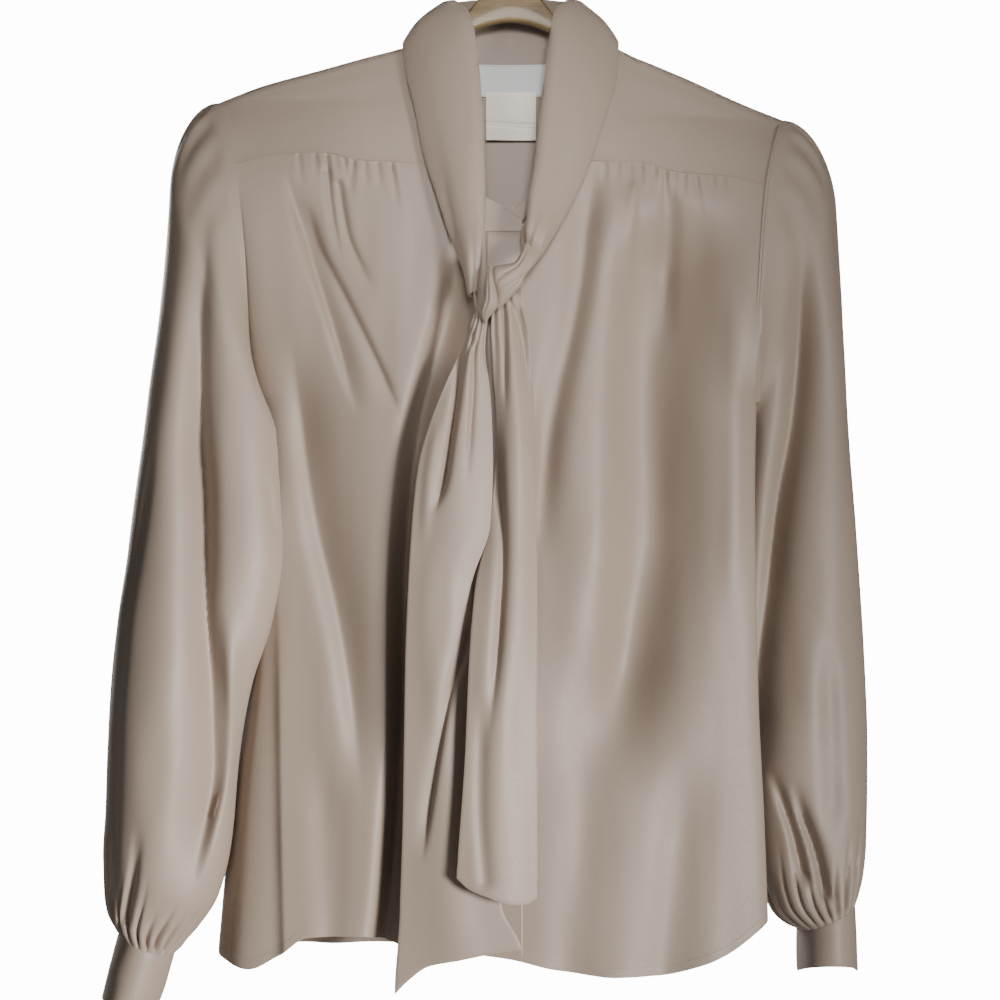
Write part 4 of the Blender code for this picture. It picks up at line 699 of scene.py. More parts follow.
frontLeft = {
    "cells": (150, 210),
    "hang": 1.3,
    "seed": 31,
    "folds": (
        dict(path=((64, -204), (58, -250), (52, -300), (44, -342), (35, -380), (27, -430), (22, -520)),
             left=14, right=10, depth=10, fade=(60, 120), power=1.8),
        dict(path=((118, -225), (120, -262), (118, -300), (116, -350)),
             left=8, right=7, depth=5, fade=(20, 60)),
        dict(path=((120, -240), (112, -290), (103, -370), (104, -430), (105, -480),
                   (95, -545), (82, -610), (70, -690)),
             left=32, right=34, depth=30, fade=(60, 120), power=1.9),
        dict(path=((134, -640), (128, -700), (122, -760), (116, -815)),
             left=18, right=20, depth=8, fade=(80, 1)),
        dict(path=((60, -560), (58, -680), (50, -760), (46, -812)),
             left=18, right=22, depth=5, fade=(80, 1)),
        dict(path=((80, -220), (72, -330), (66, -470), (64, -600), (70, -700)),
             left=22, right=15, depth=-8, fade=(60, 140)),
        dict(path=((93, -226), (90, -262), (87, -310)), left=6, right=4, depth=-3, fade=(10, 40)),
        dict(path=((168, -300), (166, -420), (164, -560)), left=9, right=10, depth=-3, fade=(50, 90)),
    ),
    "gathers": table("x end length depth",
                     (71, 70, 20, 2.4), (80, 79, 22, 2.6), (89, 91, 26, 2.8), (98, 96, 40, 3.4),
                     (108, 107, 24, 2.8), (116, 116, 42, 3.4), (123, 124, 18, 2.0), (130, 129, 26, 3.0),
                     (139, 143, 38, 3.4), (145, 146, 16, 1.7), (151, 153, 20, 2.6), (159, 161, 24, 2.4)),
}
gather = {
    "width": 1.8,
    "strength": 0.6,
    "ridge": 0.25,              # the small ridge beside each groove, as a share of its depth
    "start": 2.5,               # full depth is reached this far below the seam
}
seamTuck = (2.5, 0.75)          # the gathered edge goes up under the yoke, and sits behind it
hem = {"depth": 7.0, "step": 0.35, "rounding": 0.8}
neckShare = 0.16                # part of a front's columns that end at the neckline


def gatherDepth(rows, x, z, seamZ):
    # short gathers under a seam: a groove and the small ridge that it throws up on both sides
    total = np.zeros(np.broadcast(x, z).shape)
    for start, end, length, depth in zip(rows["x"], rows["end"], rows["length"], rows["depth"]):
        down = np.clip((seamZ - z) / length, 0.0, 1.0)
        off = (x - (start + (end - start) * down)) / (gather["width"] * (1 + 0.6 * down))
        shape = np.exp(-off ** 2) - gather["ridge"] * np.exp(-((np.abs(off) - 1.8) / 0.9) ** 2)
        total = total + gather["strength"] * depth * shape * (1 - down) ** 1.4
    return total * (0.15 + 0.85 * ease((seamZ - z) / gather["start"]))


def hemStep(fromEdge):
    # the turned-up hem makes the cloth a little thicker along its edge
    return hem["step"] * (1 - ease((fromEdge - hem["depth"] + hem["rounding"]) / hem["rounding"]))


def edgeLine(grid, distance, edge, lift, outward):
    # a line on the cloth at a distance from one of its edges, for stitches
    turned = {"bottom": grid[::-1], "top": grid, "left": grid.transpose(1, 0, 2),
              "right": grid.transpose(1, 0, 2)[::-1]}[edge]
    arc = np.cumsum(np.linalg.norm(np.diff(turned, axis=0, prepend=turned[:1]), axis=2), axis=0)
    points = []
    for c in range(turned.shape[1]):
        points.append([np.interp(distance, arc[:, c], turned[:, c, k]) for k in range(3)])
    return np.array(points) + np.array(outward, float) * lift


def frontGrid(side, piece):
    cols, rows = piece["cells"]
    neckX, tipX = side * 40.0, side * 200.0     # guesses, then where the seam meets the edges
    for _ in range(12):
        neckX = side * float(necklineX(frontSeamZ(neckX)))
        tipX = float(edgeXy(side, frontSeamZ(tipX), -1)[0])
    neckCols = int(cols * neckShare)
    topX = np.concatenate([np.linspace(body["frontMiddleX"], neckX, neckCols)[:-1],
                           np.linspace(neckX, tipX, cols - neckCols + 1)])
    onSeam = np.abs(topX) >= abs(neckX) - 1e-6
    topZ = np.where(onSeam, frontSeamZ(topX), np.minimum(necklineZ(topX), frontSeamZ(neckX)))
    share = (topX - body["frontMiddleX"]) / (tipX - body["frontMiddleX"])
    t = (np.linspace(0.0, 1.0, rows) ** 1.25)[:, None]
    x = np.broadcast_to(topX, (rows, len(topX)))
    for _ in range(6):
        z = topZ + (read(body["hemFront"], "z", "x", x) - topZ) * t
        edgeX = edgeXy(side, z, -1)[0]
        x = body["frontMiddleX"] + (edgeX - body["frontMiddleX"]) * share
    grid = np.stack([x, bodyY(x, z, side, -1), z], axis=2)
    grid[0] = np.stack([topX, bodyY(topX, topZ, side, -1), topZ], axis=1)
    return grid, topZ


def buildFront(name, node, side, piece):
    grid, topZ = frontGrid(side, piece)
    cut = grid.copy()
    x, z = grid[..., 0].copy(), grid[..., 2].copy()
    room = ease((np.abs(edgeXy(side, z, -1)[0]) - np.abs(x)) / 14.0)
    underPlacket = ease((np.abs(x - body["frontMiddleX"]) - 16.0) / 12.0)
    push = foldDepth(piece["folds"], x, z) + gatherDepth(piece["gathers"], x, z, topZ[None, :])
    push = push + hang(x, z, piece["hang"], piece["seed"]) * ease((topZ[None, :] - z) / 60.0)
    grid[..., 1] += push * room * underPlacket
    fromHem = z - z[-1]
    grid[..., 1] -= hemStep(fromHem)
    neckEnd = int(piece["cells"][0] * neckShare) - 1
    sewn = np.abs(x[0]) >= abs(x[0, neckEnd]) - 1e-6
    grid[0, :, 2] += seamTuck[0] * sewn
    grid[0, :, 1] += seamTuck[1]
    normal = surfaceNormals(grid, np.broadcast_to([0.0, -1.0, 0.0], grid.shape))
    obj = shell(name, grid, grid - normal * body["clothThickness"], cloth)
    clothPiece(obj, [node])
    return grid


buildYoke()
rightGrid = buildFront("front_right_cloth", "front_right", -1, frontRight)
leftGrid = buildFront("front_left_cloth", "front_left", 1, frontLeft)
print("yoke and fronts are made")


# Back

backPanel = {
    "cells": (130, 170),
    "hang": 1.2,
    "folds": (
        dict(path=((-120, -260), (-128, -500), (-134, -803)), left=16, right=22, depth=9, fade=(90, 1)),
        dict(path=((-62, -260), (-66, -500), (-72, -803)), left=18, right=14, depth=8, fade=(60, 1)),
        dict(path=((4, -270), (2, -520), (-6, -803)), left=20, right=20, depth=-8, fade=(80, 1)),
        dict(path=((66, -260), (72, -500), (70, -803)), left=14, right=18, depth=9, fade=(60, 1)),
        dict(path=((128, -260), (132, -500), (138, -803)), left=18, right=16, depth=7, fade=(90, 1)),
        dict(path=((-36, -268), (-32, -340), (-30, -420)), left=5, right=7, depth=3, fade=(10, 80)),
        dict(path=((34, -268), (36, -350), (40, -440)), left=6, right=5, depth=3, fade=(10, 80)),
    ),
}


def buildBack():
    cols, rows = backPanel["cells"]
    share = np.linspace(-1.0, 1.0, cols)
    share = np.sign(share) * (1 - (1 - np.abs(share)) ** 1.35)
    side = np.where(share < 0, -1, 1)
    t = np.linspace(0.0, 1.0, rows)[:, None]
    x = np.broadcast_to(share * 200.0, (rows, cols))
    for _ in range(6):
        top = backLevel(x, body["backYokeStep"])
        z = top + (read(body["hemBack"], "z", "x", x) - top) * t
        edgeX = np.where(side < 0, np.abs(edgeXy(-1, z, 1)[0]), np.abs(edgeXy(1, z, 1)[0]))
        x = share * edgeX
    grid = np.stack([x, backY(x, z), z], axis=2)
    cut = grid.copy()
    room = ease((edgeX - np.abs(x)) / 20.0) * ease((top - z) / 40.0)
    push = foldDepth(backPanel["folds"], x, z) + hang(x, z, backPanel["hang"], 51)
    grid[..., 1] -= push * room
    grid[..., 1] += hemStep(z - z[-1])
    normal = surfaceNormals(grid, np.broadcast_to([0.0, 1.0, 0.0], grid.shape))
    obj = shell("back_cloth", grid, grid - normal * body["clothThickness"], cloth)
    clothPiece(obj, ["back"])
    return grid


backGrid = buildBack()


# Sleeves and cuffs

sleeveRight = {
    "node": "sleeve_right", "side": -1, "lap": -1, "seed": 61, "hang": 1.6,
    "rings": table("z outer inner front back",
                   (-162, -255, -182, -24, 24), (-220, -257, -182, -31, 31), (-272, -260, -180, -38, 36),
                   (-324, -264, -178, -46, 38), (-387, -272, -174, -55, 36), (-447, -280, -172, -61, 32),
                   (-500, -286, -170, -65, 26), (-550, -294, -178, -68, 28), (-600, -299, -194, -69, 30),
                   (-650, -302, -204, -66, 32), (-700, -303, -209, -62, 33), (-740, -305, -219, -57, 32),
                   (-765, -304, -233, -51, 27), (-781, -301, -244, -48, 24), (-794, -293, -252, -46, 22)),
    "foldsFront": (
        dict(path=((-219, -205), (-226, -277), (-230, -336), (-230, -410), (-227, -462),
                   (-225, -536), (-221, -610), (-221, -654), (-227, -706), (-238, -765)),
             left=14, right=9, depth=23, fade=(230, 100), power=1.5),
        dict(path=((-215, -300), (-215, -410), (-212, -536), (-208, -654), (-222, -720)),
             left=14, right=26, depth=8, fade=(90, 60)),
        dict(path=((-262, -400), (-270, -462), (-283, -550), (-291, -650), (-294, -740), (-290, -775)),
             left=4, right=4, depth=3, fade=(90, 60)),
        dict(path=((-207, -540), (-205, -610), (-208, -660), (-218, -710), (-230, -755)),
             left=6, right=8, depth=-8, fade=(70, 70)),
        dict(path=((-262, -240), (-268, -330), (-272, -430)), left=9, right=10, depth=4, fade=(40, 80)),
        dict(path=((-274, -700), (-278, -735), (-286, -775)), left=3, right=5, depth=5, fade=(60, 6)),
        dict(path=((-180, -447), (-176, -478), (-171, -492)), left=3, right=3, depth=3.5, fade=(10, 12)),
    ),
    "foldsBack": (
        dict(path=((-236, -330), (-246, -500), (-262, -760)), left=10, right=13, depth=11, fade=(110, 40)),
        dict(path=((-206, -470), (-214, -600), (-238, -740)), left=8, right=8, depth=7, fade=(90, 60)),
    ),
    "cuff": {"node": "cuff_right", "shift": -12.0, "tiltTop": -0.42, "tiltBottom": -0.10, "frontRise": 0.0},
}
sleeveLeft = {
    "node": "sleeve_left", "side": 1, "lap": 1, "seed": 71, "hang": 1.6,
    "rings": table("z outer inner front back",
                   (-175, 243, 170, -24, 24), (-247, 248, 174, -24, 34), (-300, 252, 177, -20, 42),
                   (-350, 256, 179, -14, 50), (-430, 261, 180, -8, 58), (-508, 267, 179, -7, 66),
                   (-580, 271, 178, -8, 70), (-645, 273, 181, -10, 70), (-700, 273, 186, -10, 67),
                   (-734, 272, 192, -9, 62), (-758, 269, 201, -10, 57), (-780, 263.5, 220, -12, 56)),
    "foldsFront": (
        dict(path=((218, -250), (219, -330), (214, -400), (204, -462), (196, -536),
                   (189, -610), (187, -690)),
             left=10, right=10, depth=17, fade=(110, 70), power=1.5),
        dict(path=((224, -300), (220, -400), (209, -480), (200, -560), (194, -650)),
             left=12, right=26, depth=6, fade=(90, 60)),
        dict(path=((214, -675), (220, -698), (230, -726), (238, -760)),
             left=4, right=5, depth=9, fade=(40, 6)),
        dict(path=((197, -665), (206, -690), (214, -715), (222, -750)),
             left=4, right=5, depth=8, fade=(40, 12)),
        dict(path=((203, -210), (208, -250), (211, -300)), left=5, right=9, depth=7, fade=(20, 60)),
        dict(path=((240, -560), (242, -640), (244, -720)), left=9, right=9, depth=4, fade=(60, 40)),
    ),
    "foldsBack": (
        dict(path=((222, -330), (230, -500), (236, -750)), left=11, right=13, depth=11, fade=(110, 40)),
        dict(path=((196, -470), (202, -600), (216, -730)), left=8, right=8, depth=7, fade=(90, 60)),
    ),
    "cuff": {"node": "cuff_left", "shift": 1.0, "tiltTop": 0.44, "tiltBottom": 0.0, "frontRise": 0.28},
}
sleeveShape = {
    "around": 184, "capRows": 56, "lowerRows": 126,
    "capEndZ": -432.0, "capRound": 66.0,
    "capGathers": 9, "capGatherDepth": 3.0,
    "cuffGathers": 23, "cuffGatherDepth": 4.6,
    "seamTuck": 2.0,            # the sleeve's sewn edge goes this far in under the yoke
    "bodyRoom": 2.0, "edgeRoom": 2.5, "sideAnchor": 44.0,
    "pushSteps": 90, "pushGrowth": 1.02,        # steps and growth that move a sleeve off the body's side
    "grooveSharpness": 2.8,     # higher is a narrower groove between the cuff's gathers
}
cuffShape = {"height": 42.0, "thickness": 1.3, "rows": 18}


def ringPoint(rows, angle, z):
    outer, inner = read(rows, "outer", "z", z), read(rows, "inner", "z", z)
    frontAt, backAt = read(rows, "front", "z", z), read(rows, "back", "z", z)
    return ((outer + inner) / 2 + (outer - inner) / 2 * np.cos(angle),
            (frontAt + backAt) / 2 - (backAt - frontAt) / 2 * np.sin(angle))


def besideBody(grid, side, loopZ, lap):
    # keeps a sleeve out of the body: it may lie over the panel on its lap side, and beside it on the other
    x, y, z = side * grid[..., 0], grid[..., 1].copy(), grid[..., 2]
    leave = loopZ[None, :] - z
    started = leave > 0.1
    room = sleeveShape["bodyRoom"] + sleeveShape["edgeRoom"] * ease(leave / 12.0)
    edgeX, edgeY = edgeXy(side, z, 1)
    edgeX = np.abs(edgeX)
    middle = read(edgeOf(side), "y", "z", z)
    beside = started & (lap * (y - middle) < 0)
    x = np.where(beside, np.maximum(x, edgeX + room), x)
    onPanel = (started & (z > body["underarmZ"] + 12.0) & (x < edgeX + room)
               & (lap * (y - middle) > 0.5 * (edgeY - middle)))
    panelY = bodyY(side * np.minimum(x, edgeX), z, side, lap) + lap * room
    y = np.where(onPanel, lap * np.maximum(lap * y, lap * panelY), y)
    low = started & ~onPanel & ~beside & (z < body["underarmZ"] + 25.0)
    anchor = edgeX - sleeveShape["sideAnchor"]
    for _ in range(sleeveShape["pushSteps"]):
        inside = low & (x < bodySideX(side, y, z, room))
        x = np.where(inside, anchor + (x - anchor) * sleeveShape["pushGrowth"], x)
        y = np.where(inside, middle + (y - middle) * sleeveShape["pushGrowth"], y)
    return np.stack([side * x, y, z], axis=2)


def sleeveGrid(piece):
    side, rows, count = piece["side"], piece["rings"], sleeveShape["around"]
    angle = np.arange(count) * 2 * math.pi / count
    middle, half = armholeSpan(side)
    loopZ = middle + half * np.cos(angle)
    loopX = edgeXy(side, loopZ, 1)[0]
    loopY = read(edgeOf(side), "y", "z", loopZ) - np.sign(np.sin(angle)) * armholeHalf(
        np.minimum(angle, 2 * math.pi - angle))
    endZ, capEnd = rows["z"][-1], sleeveShape["capEndZ"]
    grid = []
    for share in np.linspace(0.0, 1.0, sleeveShape["capRows"]) ** 1.7:
        z = loopZ + (capEnd - loopZ) * share
        length = sleeveShape["capRound"] * (0.45 + 0.55 * (1 + np.cos(angle)) / 2)
        rounding = np.sqrt(1 - (1 - np.clip((loopZ - z) / length, 0.0, 1.0)) ** 2)
        x, y = ringPoint(rows, angle, z)
        grid.append(np.stack([loopX + (x - loopX) * rounding, loopY + (y - loopY) * rounding, z], axis=1))
    centreX = (rows["outer"][-1] + rows["inner"][-1]) / 2
    for share in np.linspace(0.0, 1.0, sleeveShape["lowerRows"] + 1)[1:]:
        z = np.full(count, capEnd + (endZ - capEnd) * share)
        x, y = ringPoint(rows, angle, z)
        z = z + piece["cuff"]["tiltTop"] * (x - centreX) * ease((share - 0.45) / 0.55)
        grid.append(np.stack([x, y, z], axis=1))
    grid = besideBody(np.array(grid), side, loopZ, piece["lap"])
    outward = (grid - grid.mean(axis=1, keepdims=True)) * np.array([1.0, 1.0, 0.0])
    outward = outward + np.array([0.0, 0.0, 1e-3])
    outward[0] = np.stack([0 * angle, loopY - loopY.mean(), loopZ - loopZ.mean()], axis=1)
    return grid, outward, angle, loopZ


def buildSleeve(name, piece):
    grid, outward, angle, loopZ = sleeveGrid(piece)
    cut = grid.copy()
    seed = piece["seed"]
    normal = surfaceNormals(grid, outward, ring=True)
    x, z = grid[..., 0].copy(), grid[..., 2].copy()
    facing = np.sin(angle)[None, :]
    started = ease((loopZ[None, :] - z) / 40.0)
    endLine = z[-1][None, :]
    ended = ease((z - endLine) / 22.0)
    front, back = np.sqrt(np.clip(facing, 0.0, 1.0)), np.sqrt(np.clip(-facing, 0.0, 1.0))
    grid[..., 1] += foldDepth(piece["foldsFront"], x, z) * front * started * ended
    grid[..., 1] -= foldDepth(piece["foldsBack"], x, z) * back * started * ended
    turn = angle[None, :] / (2 * math.pi)
    swing = 0.9 * softNoise(turn * 6, z / 60, seed)
    capWave = 0.5 - 0.5 * np.cos(sleeveShape["capGathers"] * 2 * angle[None, :] + swing)
    capReach = np.clip(np.cos(angle), 0.0, 1.0)[None, :] * np.exp(-((loopZ[None, :] - z - 9) / 20.0) ** 2)
    capReach = capReach * ease((loopZ[None, :] - z) / 5.0)
    vary = 1 + 0.45 * softNoise(turn * 15, z / 400, seed + 1)
    reach = 55 + 35 * softNoise(turn * 15, 0 * z, seed + 2)
    lean = 1.4 * softNoise(turn * 5, z / 70, seed + 3)
    cuffWave = 0.5 - 0.5 * np.cos(sleeveShape["cuffGathers"] * angle[None, :] + lean)
    groove = np.abs(cuffWave) ** sleeveShape["grooveSharpness"] - 0.27
    cuffReach = ease((endLine + reach - z) / reach)
    away = sleeveShape["capGatherDepth"] * capWave * capReach
    away = away + (sleeveShape["cuffGatherDepth"] * groove * cuffReach * vary
                   * ease((z - endLine) / 6.0))
    low = softNoise(turn * 7, z / 120, seed + 4) + 0.4 * softNoise(turn * 17, z / 60, seed + 5)
    away = away + piece["hang"] * low * started * ended
    grid -= normal * away[..., None]
    grid[0, :, 0] -= piece["side"] * sleeveShape["seamTuck"]
    thin = surfaceNormals(grid, outward, ring=True)
    obj = shell(name, grid, grid - thin * body["clothThickness"], cloth, ring=True)
    clothPiece(obj, [piece["node"]])


def buildCuff(name, piece):
    rows, shape, count = piece["rings"], piece["cuff"], sleeveShape["around"]
    angle = np.arange(count) * 2 * math.pi / count
    endZ = rows["z"][-1]
    x, y = ringPoint(rows, angle, np.full(count, endZ))
    centreX = (rows["outer"][-1] + rows["inner"][-1]) / 2
    centreY = (rows["front"][-1] + rows["back"][-1]) / 2
    rings = []
    for share in np.linspace(0.0, 1.0, cuffShape["rows"]):
        tilt = shape["tiltTop"] + (shape["tiltBottom"] - shape["tiltTop"]) * share
        size = 1.0 + 0.05 * share + 0.012 * math.sin(share * math.pi)
        rings.append(np.stack([centreX + (x - centreX) * size + shape["shift"] * share,
                               centreY + (y - centreY) * size,
                               endZ - cuffShape["height"] * share + tilt * (x - centreX)
                               + shape["frontRise"] * share * np.maximum(centreY - y, 0.0)], axis=1))
    grid = np.array(rings)
    cut = grid.copy()
    outward = (grid - np.array([centreX, centreY, 0.0])) * np.array([1.0, 1.0, 0.0])
    normal = surfaceNormals(grid, outward, ring=True)
    turn = angle[None, :] / (2 * math.pi)
    grid += normal * (0.5 * softNoise(turn * 9, grid[..., 2] / 18, piece["seed"] + 6))[..., None]
    thick = (rimmed(cuffShape["rows"], 1.5) * cuffShape["thickness"] / 2)[:, None, None]
    obj = shell(name, grid + normal * thick * 0.4, grid - normal * thick * 1.6, cloth, ring=True)
    clothPiece(obj, [shape["node"]])
    return grid


buildSleeve("sleeve_right_cloth", sleeveRight)
buildSleeve("sleeve_left_cloth", sleeveLeft)
cuffGridRight = buildCuff("cuff_right_cloth", sleeveRight)
cuffGridLeft = buildCuff("cuff_left_cloth", sleeveLeft)
print("back, sleeves and cuffs are made")


# Collar, tie ends and knot: one long folded band of the same cloth

collar = {
    "stations": 184,            # sections from one end of the roll to the other
    "across": 44,
    "thickness": 1.5,
    "rollRadius": 2.6,
    "right": table("nx ny nz rx ry rz ex ey ez bow",
                   (0, 26, -130, 0, 30, -80, 0, 42, -132, 4),
                   (-34, 22, -128, -24, 26, -80, -42, 37, -129, 4),
                   (-58, 8, -124, -42, 12, -84, -71, 16, -121, 3),
                   (-65, -4, -116, -42, -9, -86, -81, -9, -118, 3),
                   (-62, -17, -142, -30, -26, -100, -78, -17, -142, 3),
                   (-54, -26, -170, -23.5, -36, -142, -71, -25, -170, 3.5),
                   (-42, -33, -205, -20.5, -44, -184, -64, -32, -206, 3.5),
                   (-30, -39, -232, -19, -50, -225, -54, -39, -238, 3.5),
                   (-33, -44, -258, -19.5, -54, -256, -45.5, -44, -265, 3),
                   (-31, -50, -283, -22, -58, -280, -36, -51, -290, 2.5),
                   (-27, -53, -311, -24.5, -57, -309, -28.5, -54, -313, 1.5)),
    "left": table("nx ny nz rx ry rz ex ey ez bow",
                  (0, 26, -130, 0, 30, -80, 0, 42, -132, 4),
                  (34, 22, -128, 24, 26, -80, 42, 37, -129, 4),
                  (58, 8, -124, 43, 12, -84, 72, 16, -120, 3),
                  (65, -4, -115, 45, -9, -86, 82, -9, -117, 3),
                  (62, -17, -142, 34, -26, -98, 80, -17, -146, 3),
                  (54, -26, -168, 28, -35, -138, 72, -25, -172, 3.5),
                  (42, -33, -203, 22, -42, -182, 63.5, -32, -199, 3.5),
                  (32, -39, -228, 18, -48, -216, 53, -38, -228, 3.5),
                  (16, -46, -250, 13, -54, -244, 39, -46, -256, 3.5),
                  (8, -51, -268, 12, -59, -264, 28, -53, -274, 3),
                  (9, -50, -281, 13, -55, -279, 21, -52, -284, 2)),
}


def collarSide(rows, count):
    # sections of the rolled band: sewn edge, roll and outer edge at places along it
    index = np.arange(len(rows["nx"]))
    at = np.linspace(0, index[-1], count)
    return [np.stack([smooth(index, rows[key + axis], at) for axis in "xyz"], axis=1) for key in "nre"] + [
        smooth(index, rows["bow"], at)]


def collarSection(sewn, roll, edge, bow, along):
    # middle line of a section: up the stand, round the roll and down the fall
    fall, stand = edge - roll, sewn - roll
    out = np.cross(along, fall)
    out /= max(np.linalg.norm(out), 1e-9)
    if out @ np.cross(along, stand) > 0 and np.cross(fall, stand) @ along > 0:
        out = -out
    out = out * (1.0 if out @ (edge - sewn) > 0 else -1.0)
    points = [sewn, roll + stand * 0.55 - out * 0.8, roll + stand * 0.16 - out * 1.2,
              roll + (-fall / np.linalg.norm(fall)) * 0.6]
    for t in (0.10, 0.30, 0.55, 0.80, 1.0):
        lift = bow * 4 * t * (1 - t) + collar["rollRadius"] * min(1.0, (1 - t) * 2)
        points.append(roll + fall * t + out * lift)
    points = np.array(points)
    arc = np.concatenate([[0], np.cumsum(np.linalg.norm(np.diff(points, axis=0), axis=1))])
    at = np.linspace(0, arc[-1], collar["across"])
    return np.stack([smooth(arc, points[:, k], at) for k in range(3)], axis=1)


def buildCollar():
    half = collar["stations"] // 2
    right, left = collarSide(collar["right"], half), collarSide(collar["left"], half)
    sewn, roll, edge, bow = (np.concatenate([a[::-1], b[1:]]) for a, b in zip(right, left))
    along = np.gradient(roll, axis=0)
    along /= np.linalg.norm(along, axis=1, keepdims=True)
    grid = np.array([collarSection(*s) for s in zip(sewn, roll, edge, bow, along)])
    for k in range(3):          # evens out the sections along the roll
        for _ in range(3):
            grid[1:-1, :, k] = (grid[:-2, :, k] + 2 * grid[1:-1, :, k] + grid[2:, :, k]) / 4
    cut = grid.copy()
    normal = np.cross(np.gradient(grid, axis=1), np.gradient(grid, axis=0))
    normal /= np.maximum(np.linalg.norm(normal, axis=2, keepdims=True), 1e-9)
    if (normal[5, -10] @ np.array([0.0, -1.0, 0.0])) < 0:
        normal = -normal
    s = np.linspace(0, 1, grid.shape[0])[:, None]
    a = np.linspace(0, 1, grid.shape[1])[None, :]
    pull = ease((np.abs(s - 0.5) - 0.28) / 0.2)
    ripple = 0.7 * softNoise(a * 6, s * 12, 81) + 1.3 * pull * softNoise(a * 9 + s * 2, s * 7, 82)
    grid += normal * (ripple * ease(a / 0.1))[..., None]
    thick = np.outer(rimmed(grid.shape[0], 1), rimmed(grid.shape[1], 2.5))[..., None]
    thick = thick * collar["thickness"] / 2
    obj = shell("collar_cloth", grid + normal * thick, grid - normal * thick, cloth)
    clothPiece(obj, ["collar"])
    return grid


tieRight = {
    "node": "tie_end_right", "cells": (64, 240), "thickness": 1.4, "seed": 91, "turnAway": 5.0,
    "edges": table("z left right y turn",
                   (-318, -24, -15, -57, 0), (-333, -28.5, -17, -59, 0), (-352, -36, -18.5, -60, 2),
                   (-375, -47, -15.5, -61, 3), (-400, -57, -13.5, -62, 4), (-435, -67, -12.5, -63, 4),
                   (-480, -72, -14.5, -63, 4), (-529, -75, -28.5, -62, 4), (-580, -77, -27, -60, 4),
                   (-640, -78, -20, -58, 4), (-700, -79, -14, -58, 5), (-760, -81, -6, -58, 6)),
    "end": table("x z", (-85, -826), (-74, -815), (-60, -805), (-37, -800), (-15, -796), (8, -793)),
    "folds": (
        dict(path=((-31, -337), (-36, -358), (-39, -387), (-43, -415), (-49, -452), (-55, -470)),
             left=3.5, right=2.6, depth=8, fade=(10, 30), power=1.5),
        dict(path=((-24, -520), (-30, -560), (-45, -610), (-56, -670), (-65, -730)),
             left=7, right=2.2, depth=5, fade=(50, 50), power=1.6),
        dict(path=((-27, -338), (-27, -372), (-29, -410), (-32, -450)),
             left=2.4, right=2.4, depth=2.6, fade=(8, 50)),
        dict(path=((-52, -400), (-60, -450), (-63, -500)), left=4, right=4, depth=-1.8, fade=(30, 40)),
    ),
}
tieLeft = {
    "node": "tie_end_left", "cells": (54, 220), "thickness": 1.4, "seed": 95, "turnAway": 11.0,
    "edges": table("z left right y turn",
                   (-306, -12, 4, -51.3, 0), (-335, -14, 13, -52, 2), (-364, -13, 16, -56, 7),
                   (-410, -10, 18, -59, 9), (-470, -14, 19.5, -61, 10), (-529, -26, 20, -66, 4),
                   (-580, -30, 20, -70, 2), (-650, -33, 20, -71, 1), (-720, -38, 20, -71, 1)),
    "end": table("x z", (-39, -738), (-30, -746), (-15, -752), (0, -757), (11, -758), (20, -754)),
    "folds": (
        dict(path=((4, -320), (10, -352), (12, -380)), left=2.6, right=3.2, depth=4.5, fade=(8, 30)),
        dict(path=((-10, -400), (-8, -450), (-5, -500), (-8, -560), (-16, -640)),
             left=5, right=4, depth=7, fade=(60, 80), power=1.6),
        dict(path=((-20, -600), (-22, -680), (-18, -745)), left=5, right=6, depth=2.5, fade=(50, 10)),
        dict(path=((-4, -318), (-4, -350), (-3, -400)), left=2.4, right=2.4, depth=3.0, fade=(6, 40)),
    ),
}


def buildTie(name, piece):
    cols, levels = piece["cells"]
    rows, end = piece["edges"], piece["end"]
    top, low = rows["z"][0], rows["z"][-1]
    share = np.linspace(0.0, 1.0, cols)[None, :]
    t = np.linspace(0.0, 1.0, levels)[:, None]
    endX = end["x"][0] + (end["x"][-1] - end["x"][0]) * share
    endZ = read(end, "z", "x", endX)
    z = top + (endZ - top) * t
    left, right = read(rows, "left", "z", z), read(rows, "right", "z", z)
    lower = ease((low - z) / np.maximum(low - endZ, 1.0)) * (z < low)
    x = left + (right - left) * share
    x = x + (endX - x) * lower
    y = read(rows, "y", "z", z) + read(rows, "turn", "z", z) * (1 - share) ** 2
    y = y + piece["turnAway"] * share ** 2.6 * ease((top - z) / 80.0)
    y = y + 1.5 * np.cos(share * math.pi * 2) * np.minimum(1.0, (top - z) / 60.0)
    grid = np.stack(np.broadcast_arrays(x, y, z), axis=2).copy()
    cut = grid.copy()
    drop = top - z
    grid[..., 1] += foldDepth(piece["folds"], x, z)
    grid[..., 1] += 0.8 * softNoise(share * 4, z / 90, piece["seed"]) * ease(drop / 40)
    lean = 1.5 * softNoise(share * 2, z / 30, piece["seed"] + 1)
    grid[..., 1] += 0.9 * ease(1 - drop / 90) * np.sin(share * 22 + lean)
    normal = surfaceNormals(grid, np.broadcast_to([0.0, -1.0, 0.0], grid.shape))
    thick = np.outer(rimmed(levels, 1.2), rimmed(cols, 1.6))[..., None] * piece["thickness"] / 2
    obj = shell(name, grid + normal * thick, grid - normal * thick, cloth)
    clothPiece(obj, [piece["node"]])


